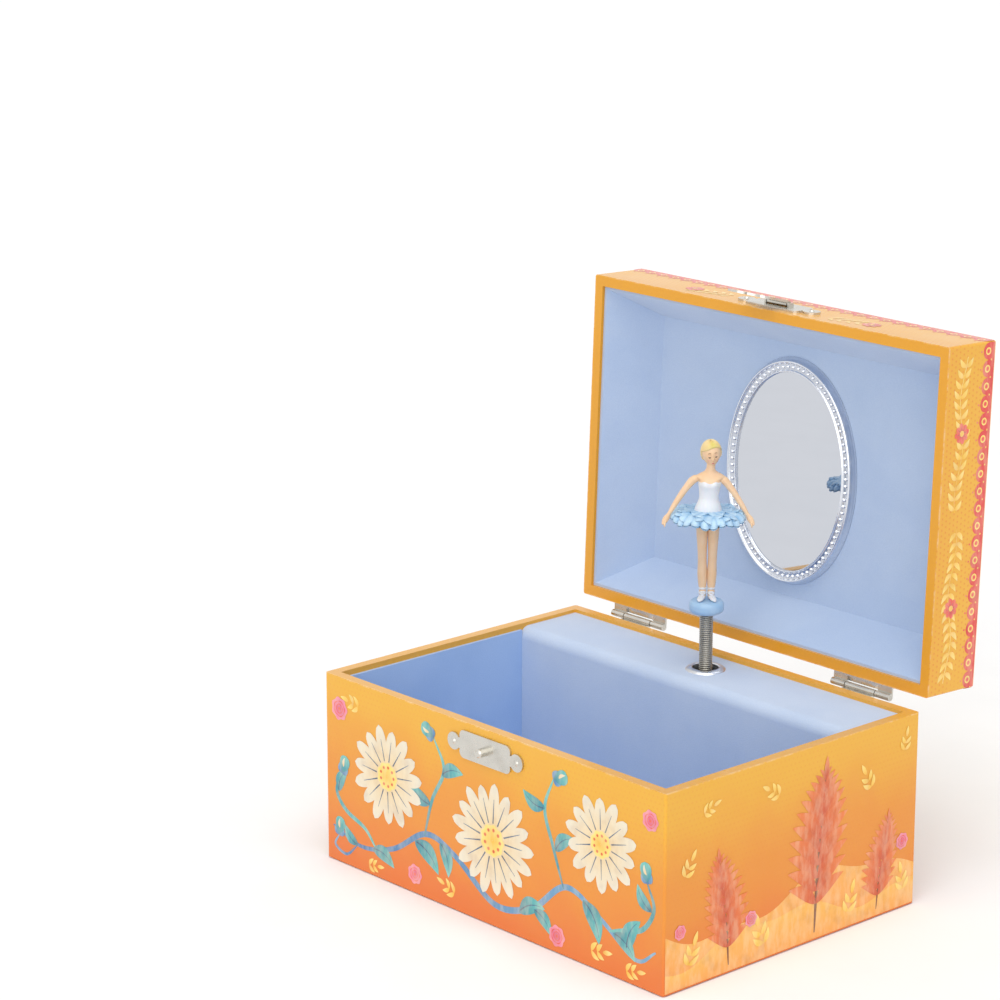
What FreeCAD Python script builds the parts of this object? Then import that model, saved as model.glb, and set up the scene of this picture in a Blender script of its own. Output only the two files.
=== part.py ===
import FreeCAD
import Part
import math
import os
import Sketcher
from FreeCAD import Placement, Rotation, Vector
from types import SimpleNamespace

# A ballerina jewellery box: a papered board case with a tray, a hinged lid with an oval mirror, and an
# 18-note movement behind a covered deck that turns a dancer on a coil spring.
# The origin is the middle of the underside. +X is right, +Y is back, +Z is up; the latch faces -Y.
# The lid stands open. Its pieces are drawn shut and then swung about the hinge pin.

SIZES = (
    # Case: outside sizes, boards and paper
    ("box_width", "165"),
    ("box_depth", "118"),
    ("base_height", "67.4"),
    ("lid_height", "23"),
    ("seam_gap", "0.3"),
    ("board", "3"),
    ("paper", "0.4"),
    ("foot_sheet", "0.4"),
    ("foot_inset", "2.5"),
    ("turn_in", "8"),
    ("edge_round", "0.9"),
    # Flocked tray linings and lid liner
    ("lining", "1"),
    ("lining_drop", "2"),
    ("liner_drop", "1.2"),
    ("liner_run_side", "12.2"),
    ("liner_run_front", "9.7"),
    # Cover over the movement
    ("cover_room", "27.6"),
    ("cover_card", "1.2"),
    ("cover_bend", "4"),
    ("deck_drop", "1.2"),
    # Dancer axis, deck eyelet and coil spring
    ("dancer_x", "0"),
    ("axis_depth", "13.2"),
    ("eyelet_radius", "7"),
    ("eyelet_bore", "4.6"),
    ("eyelet_wall", "0.5"),
    ("eyelet_rise", "0.9"),
    ("eyelet_tube", "3.2"),
    ("coil_radius", "2.05"),
    ("coil_wire", "0.62"),
    ("coil_pitch", "1.12"),
    ("coil_sunk", "4"),
    ("coil_rise", "18.6"),
    ("coil_tuck", "1.8"),
    ("fit_gap", "0.2"),
    # Dancer
    ("disc_radius", "6"),
    ("disc_height", "6.4"),
    ("figure_height", "56.7"),
    ("figure_turn", "46"),
    ("tutu_radius", "13"),
    ("tutu_level", "25.2"),
    ("tutu_height", "8.4"),
    # Mirror in the lid
    ("mirror_rebate", "1"),
    ("mirror_glass", "1.8"),
    ("frame_long", "40.3"),
    ("frame_wide", "30"),
    ("frame_band_long", "5.3"),
    ("frame_band_wide", "5.2"),
    ("frame_slope", "2.6"),
    ("frame_rise", "4.2"),
    # Hinges
    ("lid_angle", "92.4"),
    ("hinge_centre", "29"),
    ("hinge_length", "26"),
    ("hinge_middle", "13"),
    ("knuckle_radius", "1.2"),
    ("knuckle_gap", "0.35"),
    ("pin_radius", "0.5"),
    ("pin_back", "3.6"),
    ("running_gap", "0.05"),
    ("leaf", "0.7"),
    ("leaf_height", "9"),
    ("nail_head", "1.1"),
    ("nail_dome", "0.45"),
    ("nail_shank", "0.5"),
    ("nail_length", "2.4"),
    # Latch: catch plate and stud on the base, plate and hasp on the lid
    ("latch_sheet", "0.8"),
    ("ear_span", "15.2"),
    ("ear_radius", "3"),
    ("plate_half", "10.2"),
    ("plate_height", "9.6"),
    ("catch_drop", "7.4"),
    ("stud_radius", "1.5"),
    ("stud_length", "4"),
    ("stud_play", "0.4"),
    ("hasp_pivot", "7.5"),
    ("hasp_stand", "1.5"),
    ("hasp_roll", "1.3"),
    ("hasp_wire", "0.6"),
    ("hasp_neck", "4.5"),
    ("hasp_flare", "9.6"),
    ("hasp_tab", "3.2"),
    ("hasp_length", "23"),
    ("hasp_rest", "13"),
    # Movement frame on the back board
    ("bedplate", "2.5"),
    ("bed_left", "25.5"),
    ("bed_right", "31"),
    ("bed_low", "5"),
    ("bed_over", "1.48"),
    ("bed_round", "3"),
    ("lug_half", "4"),
    ("lug_thick", "1.8"),
    ("lug_reach", "3.5"),
    # Spring barrel, winding arbor and key
    ("barrel_level", "18.5"),
    ("gear_module", "0.6"),
    ("tooth_high", "0.52"),
    ("tooth_deep", "0.75"),
    ("tooth_play", "0.28"),
    ("rim_teeth", "40"),
    ("rim_face", "1.5"),
    ("crown_teeth", "33"),
    ("crown_face", "2"),
    ("barrel_wall", "0.9"),
    ("barrel_floor", "0.8"),
    ("barrel_gap", "0.3"),
    ("cap_thick", "0.7"),
    ("arbor_radius", "1.7"),
    ("arbor_hub", "2.4"),
    ("mainspring_strip", "0.4"),
    ("mainspring_step", "0.95"),
    ("key_stand", "4"),
    ("key_hub", "2.7"),
    ("key_hub_length", "9"),
    ("key_wing", "4.8"),
    ("key_wing_hole", "2.1"),
    ("key_span", "6.4"),
    ("key_thick", "1.6"),
    # Pinned cylinder and comb
    ("pinion_teeth", "10"),
    ("pinion_face", "1.6"),
    ("cylinder_radius", "6.5"),
    ("hub_collar", "5.87"),
    ("axle_radius", "1"),
    ("pin_rise", "0.8"),
    ("note_pin", "0.22"),
    ("note_count", "18"),
    ("note_margin", "1"),
    ("pins_per_note", "4"),
    ("comb_thick", "0.9"),
    ("comb_slot", "0.3"),
    ("comb_short", "7"),
    ("comb_long", "12.5"),
    ("comb_back", "7"),
    # Governor: wheel, worm and fan
    ("governor_teeth", "10"),
    ("governor_angle", "160"),
    ("worm_wheel_teeth", "20"),
    ("worm_face", "1.6"),
    ("worm_radius", "1.7"),
    ("worm_length", "6.4"),
    ("worm_thread", "0.5"),
    ("fly_axle", "0.5"),
    ("fan_radius", "4"),
    ("fan_height", "8"),
    ("fan_thick", "0.6"),
    ("bracket_sheet", "1.2"),
    ("screw_head", "2.3"),
    ("screw_shank", "1.2"),
)

doc = FreeCAD.newDocument("BallerinaBox")
sheet = doc.addObject("Spreadsheet::Sheet", "Sizes")
for row, (alias, value) in enumerate(SIZES, 1):
    sheet.set(f"A{row}", alias)
    sheet.set(f"B{row}", value)
    sheet.setAlias(f"B{row}", alias)
doc.recompute()


class Size:
    """A size that carries both its number and the sheet expression that gives it."""

    def __init__(self, text, number):
        self.text = text
        self.number = number

    def __float__(self):
        return self.number

    def __neg__(self):
        return Size(f"(0 - {self.text})", -self.number)

    def __add__(self, other):
        other = as_size(other)
        return Size(f"({self.text} + {other.text})", self.number + other.number)

    def __sub__(self, other):
        other = as_size(other)
        return Size(f"({self.text} - {other.text})", self.number - other.number)

    def __mul__(self, other):
        other = as_size(other)
        return Size(f"({self.text} * {other.text})", self.number * other.number)

    def __truediv__(self, other):
        other = as_size(other)
        return Size(f"({self.text} / {other.text})", self.number / other.number)

    def __radd__(self, other):
        return as_size(other) + self

    def __rsub__(self, other):
        return as_size(other) - self

    def __rmul__(self, other):
        return as_size(other) * self

    def __rtruediv__(self, other):
        return as_size(other) / self


def as_size(value):
    """Turn a plain number into a size, and leave a size as it is."""
    if isinstance(value, Size):
        return value
    return Size(f"({float(value)})", float(value))


s = SimpleNamespace(**{alias: Size(f"Sizes.{alias}", float(sheet.get(alias))) for alias, _ in SIZES})
nodes = {}

# Planes of the case, worked out from the outside sizes
half_w = s.box_width / 2
half_d = s.box_depth / 2
out_x = half_w - s.paper
out_y = half_d - s.paper
in_x = out_x - s.board
in_y = out_y - s.board
face_x = in_x - s.paper
face_y = in_y - s.paper
board_low = s.foot_sheet + s.paper
floor_top = board_low + s.board
rim = s.base_height
lid_rim = rim + s.seam_gap
lid_top = lid_rim + s.lid_height
lid_ceiling = lid_top - s.paper - s.board
lid_panel = lid_ceiling - s.lining
pin_y = half_d + s.pin_back
pin_z = rim + s.seam_gap / 2
cover_front = in_y - s.cover_room
deck_top = rim - s.deck_drop
axis_y = in_y - s.axis_depth
bed_face = in_y - s.bedplate


def bind(item, prop, value):
    """Bind one property of an object to the sheet."""
    item.setExpression(prop, as_size(value).text)


def move(item, place):
    """Bind the base point of an object's placement to the sheet."""
    for axis, value in zip("xyz", place):
        bind(item, f"Placement.Base.{axis}", value)


def block(name, low, high):
    """A box between two corners."""
    item = doc.addObject("Part::Box", name)
    for prop, start, end in zip(("Length", "Width", "Height"), low, high):
        bind(item, prop, as_size(end) - start)
    move(item, low)
    return item


def rod(name, start, axis, length, radius):
    """A round bar from a start point along one axis."""
    item = doc.addObject("Part::Cylinder", name)
    item.Placement = Placement(Vector(), Rotation(Vector(0, 0, 1), axis))
    bind(item, "Radius", radius)
    bind(item, "Height", length)
    move(item, start)
    return item


ALONG_X = Vector(1, 0, 0)
ALONG_Y = Vector(0, 1, 0)
ALONG_Z = Vector(0, 0, 1)


def fuse(name, pieces):
    """Several solids joined into one."""
    item = doc.addObject("Part::MultiFuse", name)
    item.Shapes = pieces
    item.Refine = True
    return item


def cut(name, base, tools):
    """A solid with several others taken out of it."""
    item = doc.addObject("Part::Cut", name)
    item.Base = base
    item.Tool = tools[0] if len(tools) == 1 else fuse(f"{name}_tools", tools)
    return item


def group(name, pieces):
    """Separate solids kept together as one piece of hardware."""
    item = doc.addObject("Part::Compound", name)
    item.Links = pieces
    return item


def solid(name, shape):
    """A shape that is made by formula."""
    item = doc.addObject("Part::Feature", name)
    item.Shape = shape
    return item


LID_SWING = (
    f"placement(vector(0; 0; 0); rotation(vector(1; 0; 0); {(-s.lid_angle).text}); "
    f"vector(0; {pin_y.text}; {pin_z.text}))"
)


def keep(label, item, swing=None):
    """Name a finished sub-part, and swing it into place where it is drawn elsewhere."""
    item.Label = label
    if swing:
        for axis in "xyz":
            item.setExpression(f"Placement.Base.{axis}", None)
        item.setExpression("Placement", swing)
    nodes[label] = item
    return item


def sketch_on(body, role, name, points):
    """A closed outline on one of a body's planes.

    Each point is (across, up) or (across, up, radius), where the radius rounds the stretch to the next
    point: positive turns left, negative turns right. Every point and radius is bound to the sheet.
    """
    plane = next(item for item in body.Origin.OriginFeatures if item.Role == role)
    sketch = body.newObject("Sketcher::SketchObject", name)
    sketch.AttachmentSupport = [(plane, "")]
    sketch.MapMode = "FlatFace"
    ends = []
    for here, after in zip(points, points[1:] + points[:1]):
        start = Vector(float(here[0]), float(here[1]), 0)
        end = Vector(float(after[0]), float(after[1]), 0)
        if len(here) == 2:
            index = sketch.addGeometry(Part.LineSegment(start, end))
            ends.append((index, 1, 2))
            continue
        radius = float(here[2])
        chord = end - start
        rise = math.sqrt(radius**2 - chord.Length**2 / 4)
        left = Vector(-chord.y, chord.x, 0).normalize()
        centre = (start + end) / 2 + left * math.copysign(rise, radius)
        first, last = (start, end) if radius > 0 else (end, start)
        angles = [math.atan2(p.y - centre.y, p.x - centre.x) for p in (first, last)]
        circle = Part.Circle(centre, ALONG_Z, abs(radius))
        index = sketch.addGeometry(Part.ArcOfCircle(circle, *angles))
        ends.append((index, 1, 2) if radius > 0 else (index, 2, 1))
    for here, after in zip(ends, ends[1:] + ends[:1]):
        sketch.addConstraint(Sketcher.Constraint("Coincident", here[0], here[2], after[0], after[1]))
    for (index, first, _), point in zip(ends, points):
        for kind, value in zip(("DistanceX", "DistanceY"), point):
            mark = sketch.addConstraint(Sketcher.Constraint(kind, -1, 1, index, first, float(value)))
            bind(sketch, f"Constraints[{mark}]", value)
        if len(point) == 3:
            size = as_size(point[2])
            size = size if float(size) > 0 else -size
            mark = sketch.addConstraint(Sketcher.Constraint("Radius", index, float(size)))
            bind(sketch, f"Constraints[{mark}]", size)
    return sketch


def padded(name, role, points, depth):
    """A flat outline given a thickness."""
    body = doc.addObject("PartDesign::Body", name)
    sketch = sketch_on(body, role, f"{name}_outline", points)
    pad = body.newObject("PartDesign::Pad", f"{name}_pad")
    pad.Profile = sketch
    bind(pad, "Length", depth)
    return body


def turned(name, points, place):
    """A profile of (radius, height) points turned about an upright axis."""
    body = doc.addObject("PartDesign::Body", name)
    sketch = sketch_on(body, "XZ_Plane", f"{name}_profile", points)
    turn = body.newObject("PartDesign::Revolution", f"{name}_turn")
    turn.Profile = sketch
    turn.ReferenceAxis = (sketch, ["V_Axis"])
    turn.Angle = 360
    move(body, place)
    return body


def nails(name, heads, out):
    """Round-headed nails along Y: `heads` are the head seats, `out` is -1 towards the front, 1 back."""
    pieces = []
    for number, (across, depth, level) in enumerate(heads):
        shank = doc.addObject("Part::Cylinder", f"{name}_shank_{number}")
        bind(shank, "Radius", s.nail_shank)
        bind(shank, "Height", s.nail_length)
        dome = doc.addObject("Part::Cone", f"{name}_dome_{number}")
        bind(dome, "Radius1", s.nail_head)
        bind(dome, "Radius2", s.nail_head / 2)
        bind(dome, "Height", s.nail_dome)
        shank.Placement.Rotation = Rotation(ALONG_Z, ALONG_Y * -out)
        dome.Placement.Rotation = Rotation(ALONG_Z, ALONG_Y * out)
        move(shank, (across, depth, level))
        move(dome, (across, depth, level))
        pieces.append(fuse(f"{name}_{number}", [shank, dome]))
    return group(name, pieces)


# Places of the movement that pierce the back board, hung from the deck by the dancer's hub
barrel_x = s.dancer_x
barrel_z = s.barrel_level
coil_low = deck_top - s.coil_sunk
coil_seat = coil_low - s.coil_wire / 2 - s.fit_gap
hub_low = coil_seat - s.hub_collar
lug_high = hub_low - s.barrel_gap - s.lug_thick
bed_high = lug_high + s.lug_thick + s.bed_over
SCREW_INSET = 5
screw_places = (
    (-s.bed_left + SCREW_INSET, bed_high - SCREW_INSET),
    (s.bed_right - SCREW_INSET, bed_high - SCREW_INSET / 2),
    (s.bed_right - SCREW_INSET, s.bed_low + SCREW_INSET),
)


def back_holes(name):
    """Holes for the winding arbor and the movement screws through the back."""
    length = s.board + s.paper * 4
    tools = [rod(f"{name}_arbor", (barrel_x, in_y - s.paper, barrel_z), ALONG_Y, length, s.arbor_hub)]
    for number, (across, level) in enumerate(screw_places):
        place = (across, in_y - s.paper, level)
        tools.append(rod(f"{name}_screw_{number}", place, ALONG_Y, length, s.screw_shank + s.running_gap))
    return tools


def make_base_boards():
    """Bottom board between four wall boards; the back board is bored for the movement."""
    low = board_low
    high = rim - s.paper
    keep("base_bottom_board", block("bottom", (-in_x, -in_y, low), (in_x, in_y, floor_top)))
    keep("base_front_board", block("front", (-out_x, -out_y, low), (out_x, -in_y, high)))
    keep("base_left_board", block("left", (-out_x, -in_y, low), (-in_x, in_y, high)))
    keep("base_right_board", block("right", (in_x, -in_y, low), (out_x, in_y, high)))
    back = block("back", (-out_x, in_y, low), (out_x, out_y, high))
    keep("base_back_board", cut("back_bored", back, back_holes("back_hole")))


def rounded_case(name, low_z, high_z):
    """The outside of a papered shell with softened upright edges."""
    outside = block(f"{name}_outside", (-half_w, -half_d, low_z), (half_w, half_d, high_z))
    rounded = doc.addObject("Part::Fillet", f"{name}_rounded")
    rounded.Base = outside
    radius = float(s.edge_round)
    rounded.Edges = [(edge, radius, radius) for edge in (1, 3, 5, 7)]
    return rounded


def make_base_paper():
    """Printed paper over the outside, turned over the rim and under the bottom, and a sheet below."""
    outside = rounded_case("base_paper", s.foot_sheet, rim)
    room = block("base_room", (-out_x, -out_y, board_low), (out_x, out_y, rim - s.paper))
    turn = block("base_turn", (-in_x, -in_y, rim - s.turn_in), (in_x, in_y, rim - s.paper / 2))
    mouth = block("base_mouth", (-face_x, -face_y, rim - s.turn_in - 1), (face_x, face_y, rim + 1))
    under_x = out_x - s.turn_in
    under_y = out_y - s.turn_in
    under = block("base_under", (-under_x, -under_y, s.foot_sheet - 1), (under_x, under_y, board_low + 1))
    shell = fuse("base_shell", [cut("base_hollow", outside, [room]), turn])
    keep("base_wrap", cut("base_wrap_open", shell, [mouth, under] + back_holes("base_wrap_hole")))
    foot_x = half_w - s.foot_inset
    foot_y = half_d - s.foot_inset
    keep("underside_sheet", block("foot", (-foot_x, -foot_y, 0), (foot_x, foot_y, s.foot_sheet)))


def make_tray():
    """Flocked cards on the floor, front and sides of the tray."""
    top = rim - s.lining_drop
    bed = floor_top + s.lining
    front = -face_y + s.lining
    keep("tray_floor_lining", block("floor_card", (-in_x, -in_y, floor_top), (in_x, cover_front, bed)))
    keep("tray_front_lining", block("front_card", (-face_x, -face_y, bed), (face_x, front, top)))
    inner = face_x - s.lining
    keep("tray_left_lining", block("left_card", (-face_x, front, bed), (-inner, cover_front, top)))
    keep("tray_right_lining", block("right_card", (inner, front, bed), (face_x, cover_front, top)))


def make_cover():
    """Folded flocked card that hides the movement, its top the deck that the dancer stands above."""
    bend_y = cover_front + s.cover_bend
    bend_z = deck_top - s.cover_bend
    inner_z = deck_top - s.cover_card
    inner_y = cover_front + s.cover_card
    profile = [
        (cover_front, floor_top),
        (cover_front, bend_z, -s.cover_bend),
        (bend_y, deck_top),
        (face_y, deck_top),
        (face_y, inner_z),
        (bend_y, inner_z, s.cover_bend - s.cover_card),
        (inner_y, bend_z),
        (inner_y, floor_top),
    ]
    folded = padded("cover_fold", "YZ_Plane", profile, face_x * 2)
    bind(folded, "Placement.Base.x", -face_x)
    tube = s.eyelet_bore + s.eyelet_wall
    hole = rod("cover_hole", (s.dancer_x, axis_y, deck_top - s.cover_bend), ALONG_Z, s.cover_bend * 2, tube)
    keep("movement_cover", cut("cover_pierced", folded, [hole]))


def make_eyelet():
    """Rolled metal eyelet in the deck, a domed flange over a short tube."""
    tube = s.eyelet_bore + s.eyelet_wall
    crown = s.eyelet_bore + s.eyelet_wall / 2
    profile = [
        (s.eyelet_bore, -s.eyelet_tube),
        (tube, -s.eyelet_tube),
        (tube, 0),
        (s.eyelet_radius, 0, s.eyelet_radius - s.eyelet_bore),
        (crown, s.eyelet_rise),
        (s.eyelet_bore, s.eyelet_rise - s.eyelet_wall / 2),
    ]
    keep("deck_eyelet", turned("eyelet", profile, (s.dancer_x, axis_y, deck_top)))


def make_lid_boards():
    """Top board between four wall boards, drawn shut."""
    low = lid_rim + s.paper
    high = lid_top - s.paper
    corners = {
        "lid_top_board": ((-in_x, -in_y, lid_ceiling), (in_x, in_y, high)),
        "lid_front_board": ((-out_x, -out_y, low), (out_x, -in_y, high)),
        "lid_back_board": ((-out_x, in_y, low), (out_x, out_y, high)),
        "lid_left_board": ((-out_x, -in_y, low), (-in_x, in_y, high)),
        "lid_right_board": ((in_x, -in_y, low), (out_x, in_y, high)),
    }
    for label, (first, last) in corners.items():
        board = block(f"{label}_box", (0, 0, 0), [end - start for start, end in zip(first, last)])
        corner = "; ".join(as_size(value).text for value in first)
        keep(label, board, f"{LID_SWING} * placement(vector({corner}); rotation(vector(0; 0; 1); 0))")


def make_lid_paper():
    """Printed paper over the lid, turned in over its rim."""
    outside = rounded_case("lid_paper", lid_rim, lid_top)
    room = block("lid_room", (-out_x, -out_y, lid_rim + s.paper), (out_x, out_y, lid_top - s.paper))
    turn = block("lid_turn", (-in_x, -in_y, lid_rim + s.paper / 2), (in_x, in_y, lid_rim + s.turn_in))
    mouth = block("lid_mouth", (-face_x, -face_y, lid_rim - 1), (face_x, face_y, lid_rim + s.turn_in + 1))
    shell = fuse("lid_shell", [cut("lid_hollow", outside, [room]), turn])
    keep("lid_wrap", cut("lid_wrap_open", shell, [mouth]), LID_SWING)


def make_lid_liner():
    """Flocked cards: a flat panel under the top, and four sides that slope to it from the rim."""
    low = lid_rim + s.liner_drop
    panel_x = face_x - s.liner_run_side
    panel_y = face_y - s.liner_run_front
    corner = "; ".join(size.text for size in (-panel_x, -panel_y, lid_panel))
    panel = block("liner_panel_card", (0, 0, 0), (panel_x * 2, panel_y * 2, s.lining))
    keep("lid_liner_panel", panel, f"{LID_SWING} * placement(vector({corner}); rotation(vector(0; 0; 1); 0))")
    sides = {
        "left": (-ALONG_X, face_x, panel_x, face_y, panel_y),
        "right": (ALONG_X, face_x, panel_x, face_y, panel_y),
        "front": (-ALONG_Y, face_y, panel_y, face_x, panel_x),
        "back": (ALONG_Y, face_y, panel_y, face_x, panel_x),
    }
    for side, (out, mouth_reach, panel_reach, mouth_half, panel_half) in sides.items():
        along = ALONG_Z.cross(out)

        def corner_at(reach, half, level):
            return out * float(reach) + along * float(half) + ALONG_Z * float(level)

        mitre = [
            corner_at(mouth_reach, -mouth_half, low),
            corner_at(mouth_reach, mouth_half, low),
            corner_at(panel_reach, panel_half, lid_panel),
            corner_at(panel_reach, -panel_half, lid_panel),
        ]
        back = [
            corner_at(mouth_reach - s.lining, -(mouth_half - s.lining), low),
            corner_at(mouth_reach - s.lining, mouth_half - s.lining, low),
            corner_at(panel_reach - s.lining, panel_half - s.lining, lid_panel),
            corner_at(panel_reach - s.lining, -(panel_half - s.lining), lid_panel),
        ]
        card = Part.makeLoft([Part.makePolygon(ring + ring[:1]) for ring in (mitre, back)], True, True)
        keep(f"lid_liner_{side}", solid(f"liner_{side}_card", card), LID_SWING)


def oval(name, wide, long, level):
    """An ellipse whose long axis runs from the front to the back."""
    item = doc.addObject("Part::Ellipse", name)
    bind(item, "MajorRadius", long)
    bind(item, "MinorRadius", wide)
    item.Placement = Placement(Vector(), Rotation(ALONG_Z, 90))
    bind(item, "Placement.Base.z", level)
    return item


def oval_block(name, wide, long, low, high):
    """An upright oval solid."""
    item = doc.addObject("Part::Extrusion", name)
    item.Base = oval(f"{name}_edge", wide, long, low)
    item.Dir = ALONG_Z
    item.DirMode = "Custom"
    bind(item, "LengthFwd", as_size(high) - low)
    item.Solid = True
    return item


def make_mirror():
    """Bevelled oval frame on the liner's panel with the glass in its rebate."""
    low = lid_panel - s.frame_rise
    clear_wide = s.frame_wide - s.frame_band_wide
    clear_long = s.frame_long - s.frame_band_long
    crest = doc.addObject("Part::Loft", "frame_slopes")
    crest.Sections = [
        oval("frame_foot", s.frame_wide, s.frame_long, lid_panel),
        oval("frame_crest", s.frame_wide - s.frame_slope, s.frame_long - s.frame_slope, low),
    ]
    crest.Solid = True
    crest.Ruled = True
    seat_wide = clear_wide + s.mirror_rebate
    seat_long = clear_long + s.mirror_rebate
    seat = lid_panel - s.mirror_glass
    opening = oval_block("frame_opening", clear_wide, clear_long, low - 1, lid_panel + 1)
    rebate = oval_block("frame_rebate", seat_wide, seat_long, seat, lid_panel + 1)
    keep("mirror_frame", cut("frame_open", crest, [opening, rebate]), LID_SWING)
    keep("mirror_glass", oval_block("glass_pane", seat_wide, seat_long, seat, lid_panel), LID_SWING)


def make_hinge(side, centre):
    """One stop hinge: base leaf, lid leaf and pin; the leaves bend out to carry three knuckles.

    Returns the nail seats on each leaf, and the pin.
    """
    start = centre - s.hinge_length / 2
    middle = centre - s.hinge_middle / 2
    end_length = (s.hinge_length - s.hinge_middle) / 2 - s.knuckle_gap
    spans = {
        "base": ((middle, s.hinge_middle),),
        "lid": ((start, end_length), (centre + s.hinge_middle / 2 + s.knuckle_gap, end_length)),
    }
    bores = {"base": s.pin_radius, "lid": s.pin_radius + s.running_gap}
    nail_sets = {}
    for part, way in (("base", -1), ("lid", 1)):
        name = f"hinge_{side}_{part}"
        far = pin_z + s.leaf_height * way
        near = pin_z + (s.knuckle_radius - s.leaf) * way
        edge = pin_z + s.knuckle_radius * way
        low, high = (far, near) if way < 0 else (near, far)
        shelf_low, shelf_high = (edge, near) if way < 0 else (near, edge)
        stop = start + s.hinge_length
        pieces = [block(f"{name}_plate", (start, half_d, low), (stop, half_d + s.leaf, high))]
        for number, (first, length) in enumerate(spans[part]):
            last = first + length
            pieces.append(block(f"{name}_bend_{number}", (first, half_d, shelf_low), (last, pin_y, shelf_high)))
            knuckle = rod(f"{name}_roll_{number}", (first, pin_y, pin_z), ALONG_X, length, s.knuckle_radius)
            pieces.append(knuckle)
        level = (far + edge) / 2
        places = [(centre + s.hinge_length * share, half_d, level) for share in (-0.34, 0, 0.34)]
        tools = [rod(f"{name}_bore", (start, pin_y, pin_z), ALONG_X, s.hinge_length, bores[part])]
        for number, place in enumerate(places):
            hole = rod(f"{name}_hole_{number}", place, ALONG_Y, s.leaf * 2, s.nail_shank)
            tools.append(hole)
        swing = LID_SWING if part == "lid" else None
        keep(f"{name}_leaf", cut(f"{name}_bored", fuse(f"{name}_body", pieces), tools), swing)
        nail_sets[part] = [(across, half_d + s.leaf, up) for across, _, up in places]
    pin = rod(f"hinge_{side}_rod", (start, pin_y, pin_z), ALONG_X, s.hinge_length, s.pin_radius)
    return nail_sets, pin


def make_hinges():
    """Two hinges across the back, their pins, and the nails that hold their leaves."""
    left, left_pin = make_hinge("left", s.hinge_centre - half_w)
    right, right_pin = make_hinge("right", half_w - s.hinge_centre)
    keep("hinge_pins", group("hinge_pin_pair", [left_pin, right_pin]))
    keep("hinge_base_nails", nails("hinge_nails_low", left["base"] + right["base"], 1))
    keep("hinge_lid_nails", nails("hinge_nails_high", left["lid"] + right["lid"], 1), LID_SWING)


def latch_plate(name, level):
    """A pressed plate with a rounded middle and a round ear at each end."""
    back = -half_d
    front = back - s.latch_sheet
    tall = s.plate_height / 2
    waist = s.ear_radius * 0.62
    pieces = [
        block(f"{name}_middle", (-s.plate_half, front, level - tall), (s.plate_half, back, level + tall)),
        block(f"{name}_waist", (-s.ear_span, front, level - waist), (s.ear_span, back, level + waist)),
    ]
    for side in (-1, 1):
        ear = rod(f"{name}_ear_{side + 1}", (s.ear_span * side, front, level), ALONG_Y, s.latch_sheet, s.ear_radius)
        pieces.append(ear)
        for up in (-1, 1):
            place = (s.plate_half * side, front, level + (tall - s.ear_radius * 0.7) * up)
            pieces.append(rod(f"{name}_lobe_{side + 1}{up + 1}", place, ALONG_Y, s.latch_sheet, s.ear_radius * 0.7))
    return fuse(name, pieces)


def plate_holes(name, level):
    """Nail holes in a plate's ears."""
    front = -half_d - s.latch_sheet
    places = [(s.ear_span * side, front, level) for side in (-1, 1)]
    holes = [rod(f"{name}_{number}", place, ALONG_Y, s.latch_sheet, s.nail_shank)
             for number, place in enumerate(places)]
    return holes, places


catch_z = rim - s.catch_drop
pivot_z = lid_rim + s.hasp_pivot
pivot_y = -half_d - s.hasp_stand


def make_catch():
    """Catch plate on the base with the stud that the hasp drops over."""
    holes, places = plate_holes("catch_hole", catch_z)
    bore = rod("catch_bore", (0, -half_d - s.latch_sheet, catch_z), ALONG_Y, s.latch_sheet, s.stud_radius * 0.7)
    keep("catch_plate", cut("catch_pierced", latch_plate("catch_blank", catch_z), holes + [bore]))
    neck = rod("stud_neck", (0, -half_d - s.latch_sheet, catch_z), ALONG_Y, s.latch_sheet, s.stud_radius * 0.7)
    tip = as_size(0.5)
    post_length = s.stud_length - s.latch_sheet - tip
    post = rod("stud_post", (0, -half_d - s.stud_length + tip, catch_z), ALONG_Y, post_length, s.stud_radius)
    dome = doc.addObject("Part::Cone", "stud_dome")
    bind(dome, "Radius1", s.stud_radius)
    bind(dome, "Radius2", s.stud_radius * 0.65)
    bind(dome, "Height", tip)
    dome.Placement.Rotation = Rotation(ALONG_Z, -ALONG_Y)
    move(dome, (0, -half_d - s.stud_length + tip, catch_z))
    keep("catch_stud", fuse("stud", [neck, post, dome]))
    keep("catch_nails", nails("catch_nail", places, -1))


def make_lid_plate():
    """Plate on the lid with a window, two lugs and the wire that the hasp hangs from."""
    back = -half_d
    holes, places = plate_holes("lid_plate_hole", pivot_z)
    half = s.hasp_neck + s.fit_gap * 2
    tall = s.hasp_roll + s.fit_gap * 3
    window = block("lid_window", (-half, back - s.latch_sheet, pivot_z - tall), (half, back, pivot_z + tall))
    frame = cut("lid_plate_open", latch_plate("lid_plate_blank", pivot_z), holes + [window])
    pieces = [frame]
    lug_tall = s.hasp_wire * 2
    for side in (-1, 1):
        inner = half if side > 0 else -half - s.latch_sheet
        low = (inner, pivot_y - s.hasp_wire, pivot_z - lug_tall)
        high = (inner + s.latch_sheet, back, pivot_z + lug_tall)
        pieces.append(block(f"lid_lug_{side + 1}", low, high))
    wire_half = half + s.latch_sheet / 2
    pieces.append(rod("lid_wire", (-wire_half, pivot_y, pivot_z), ALONG_X, wire_half * 2, s.hasp_wire))
    keep("latch_lid_plate", fuse("lid_plate", pieces), LID_SWING)
    keep("latch_lid_nails", nails("lid_plate_nail", places, -1), LID_SWING)


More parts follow.
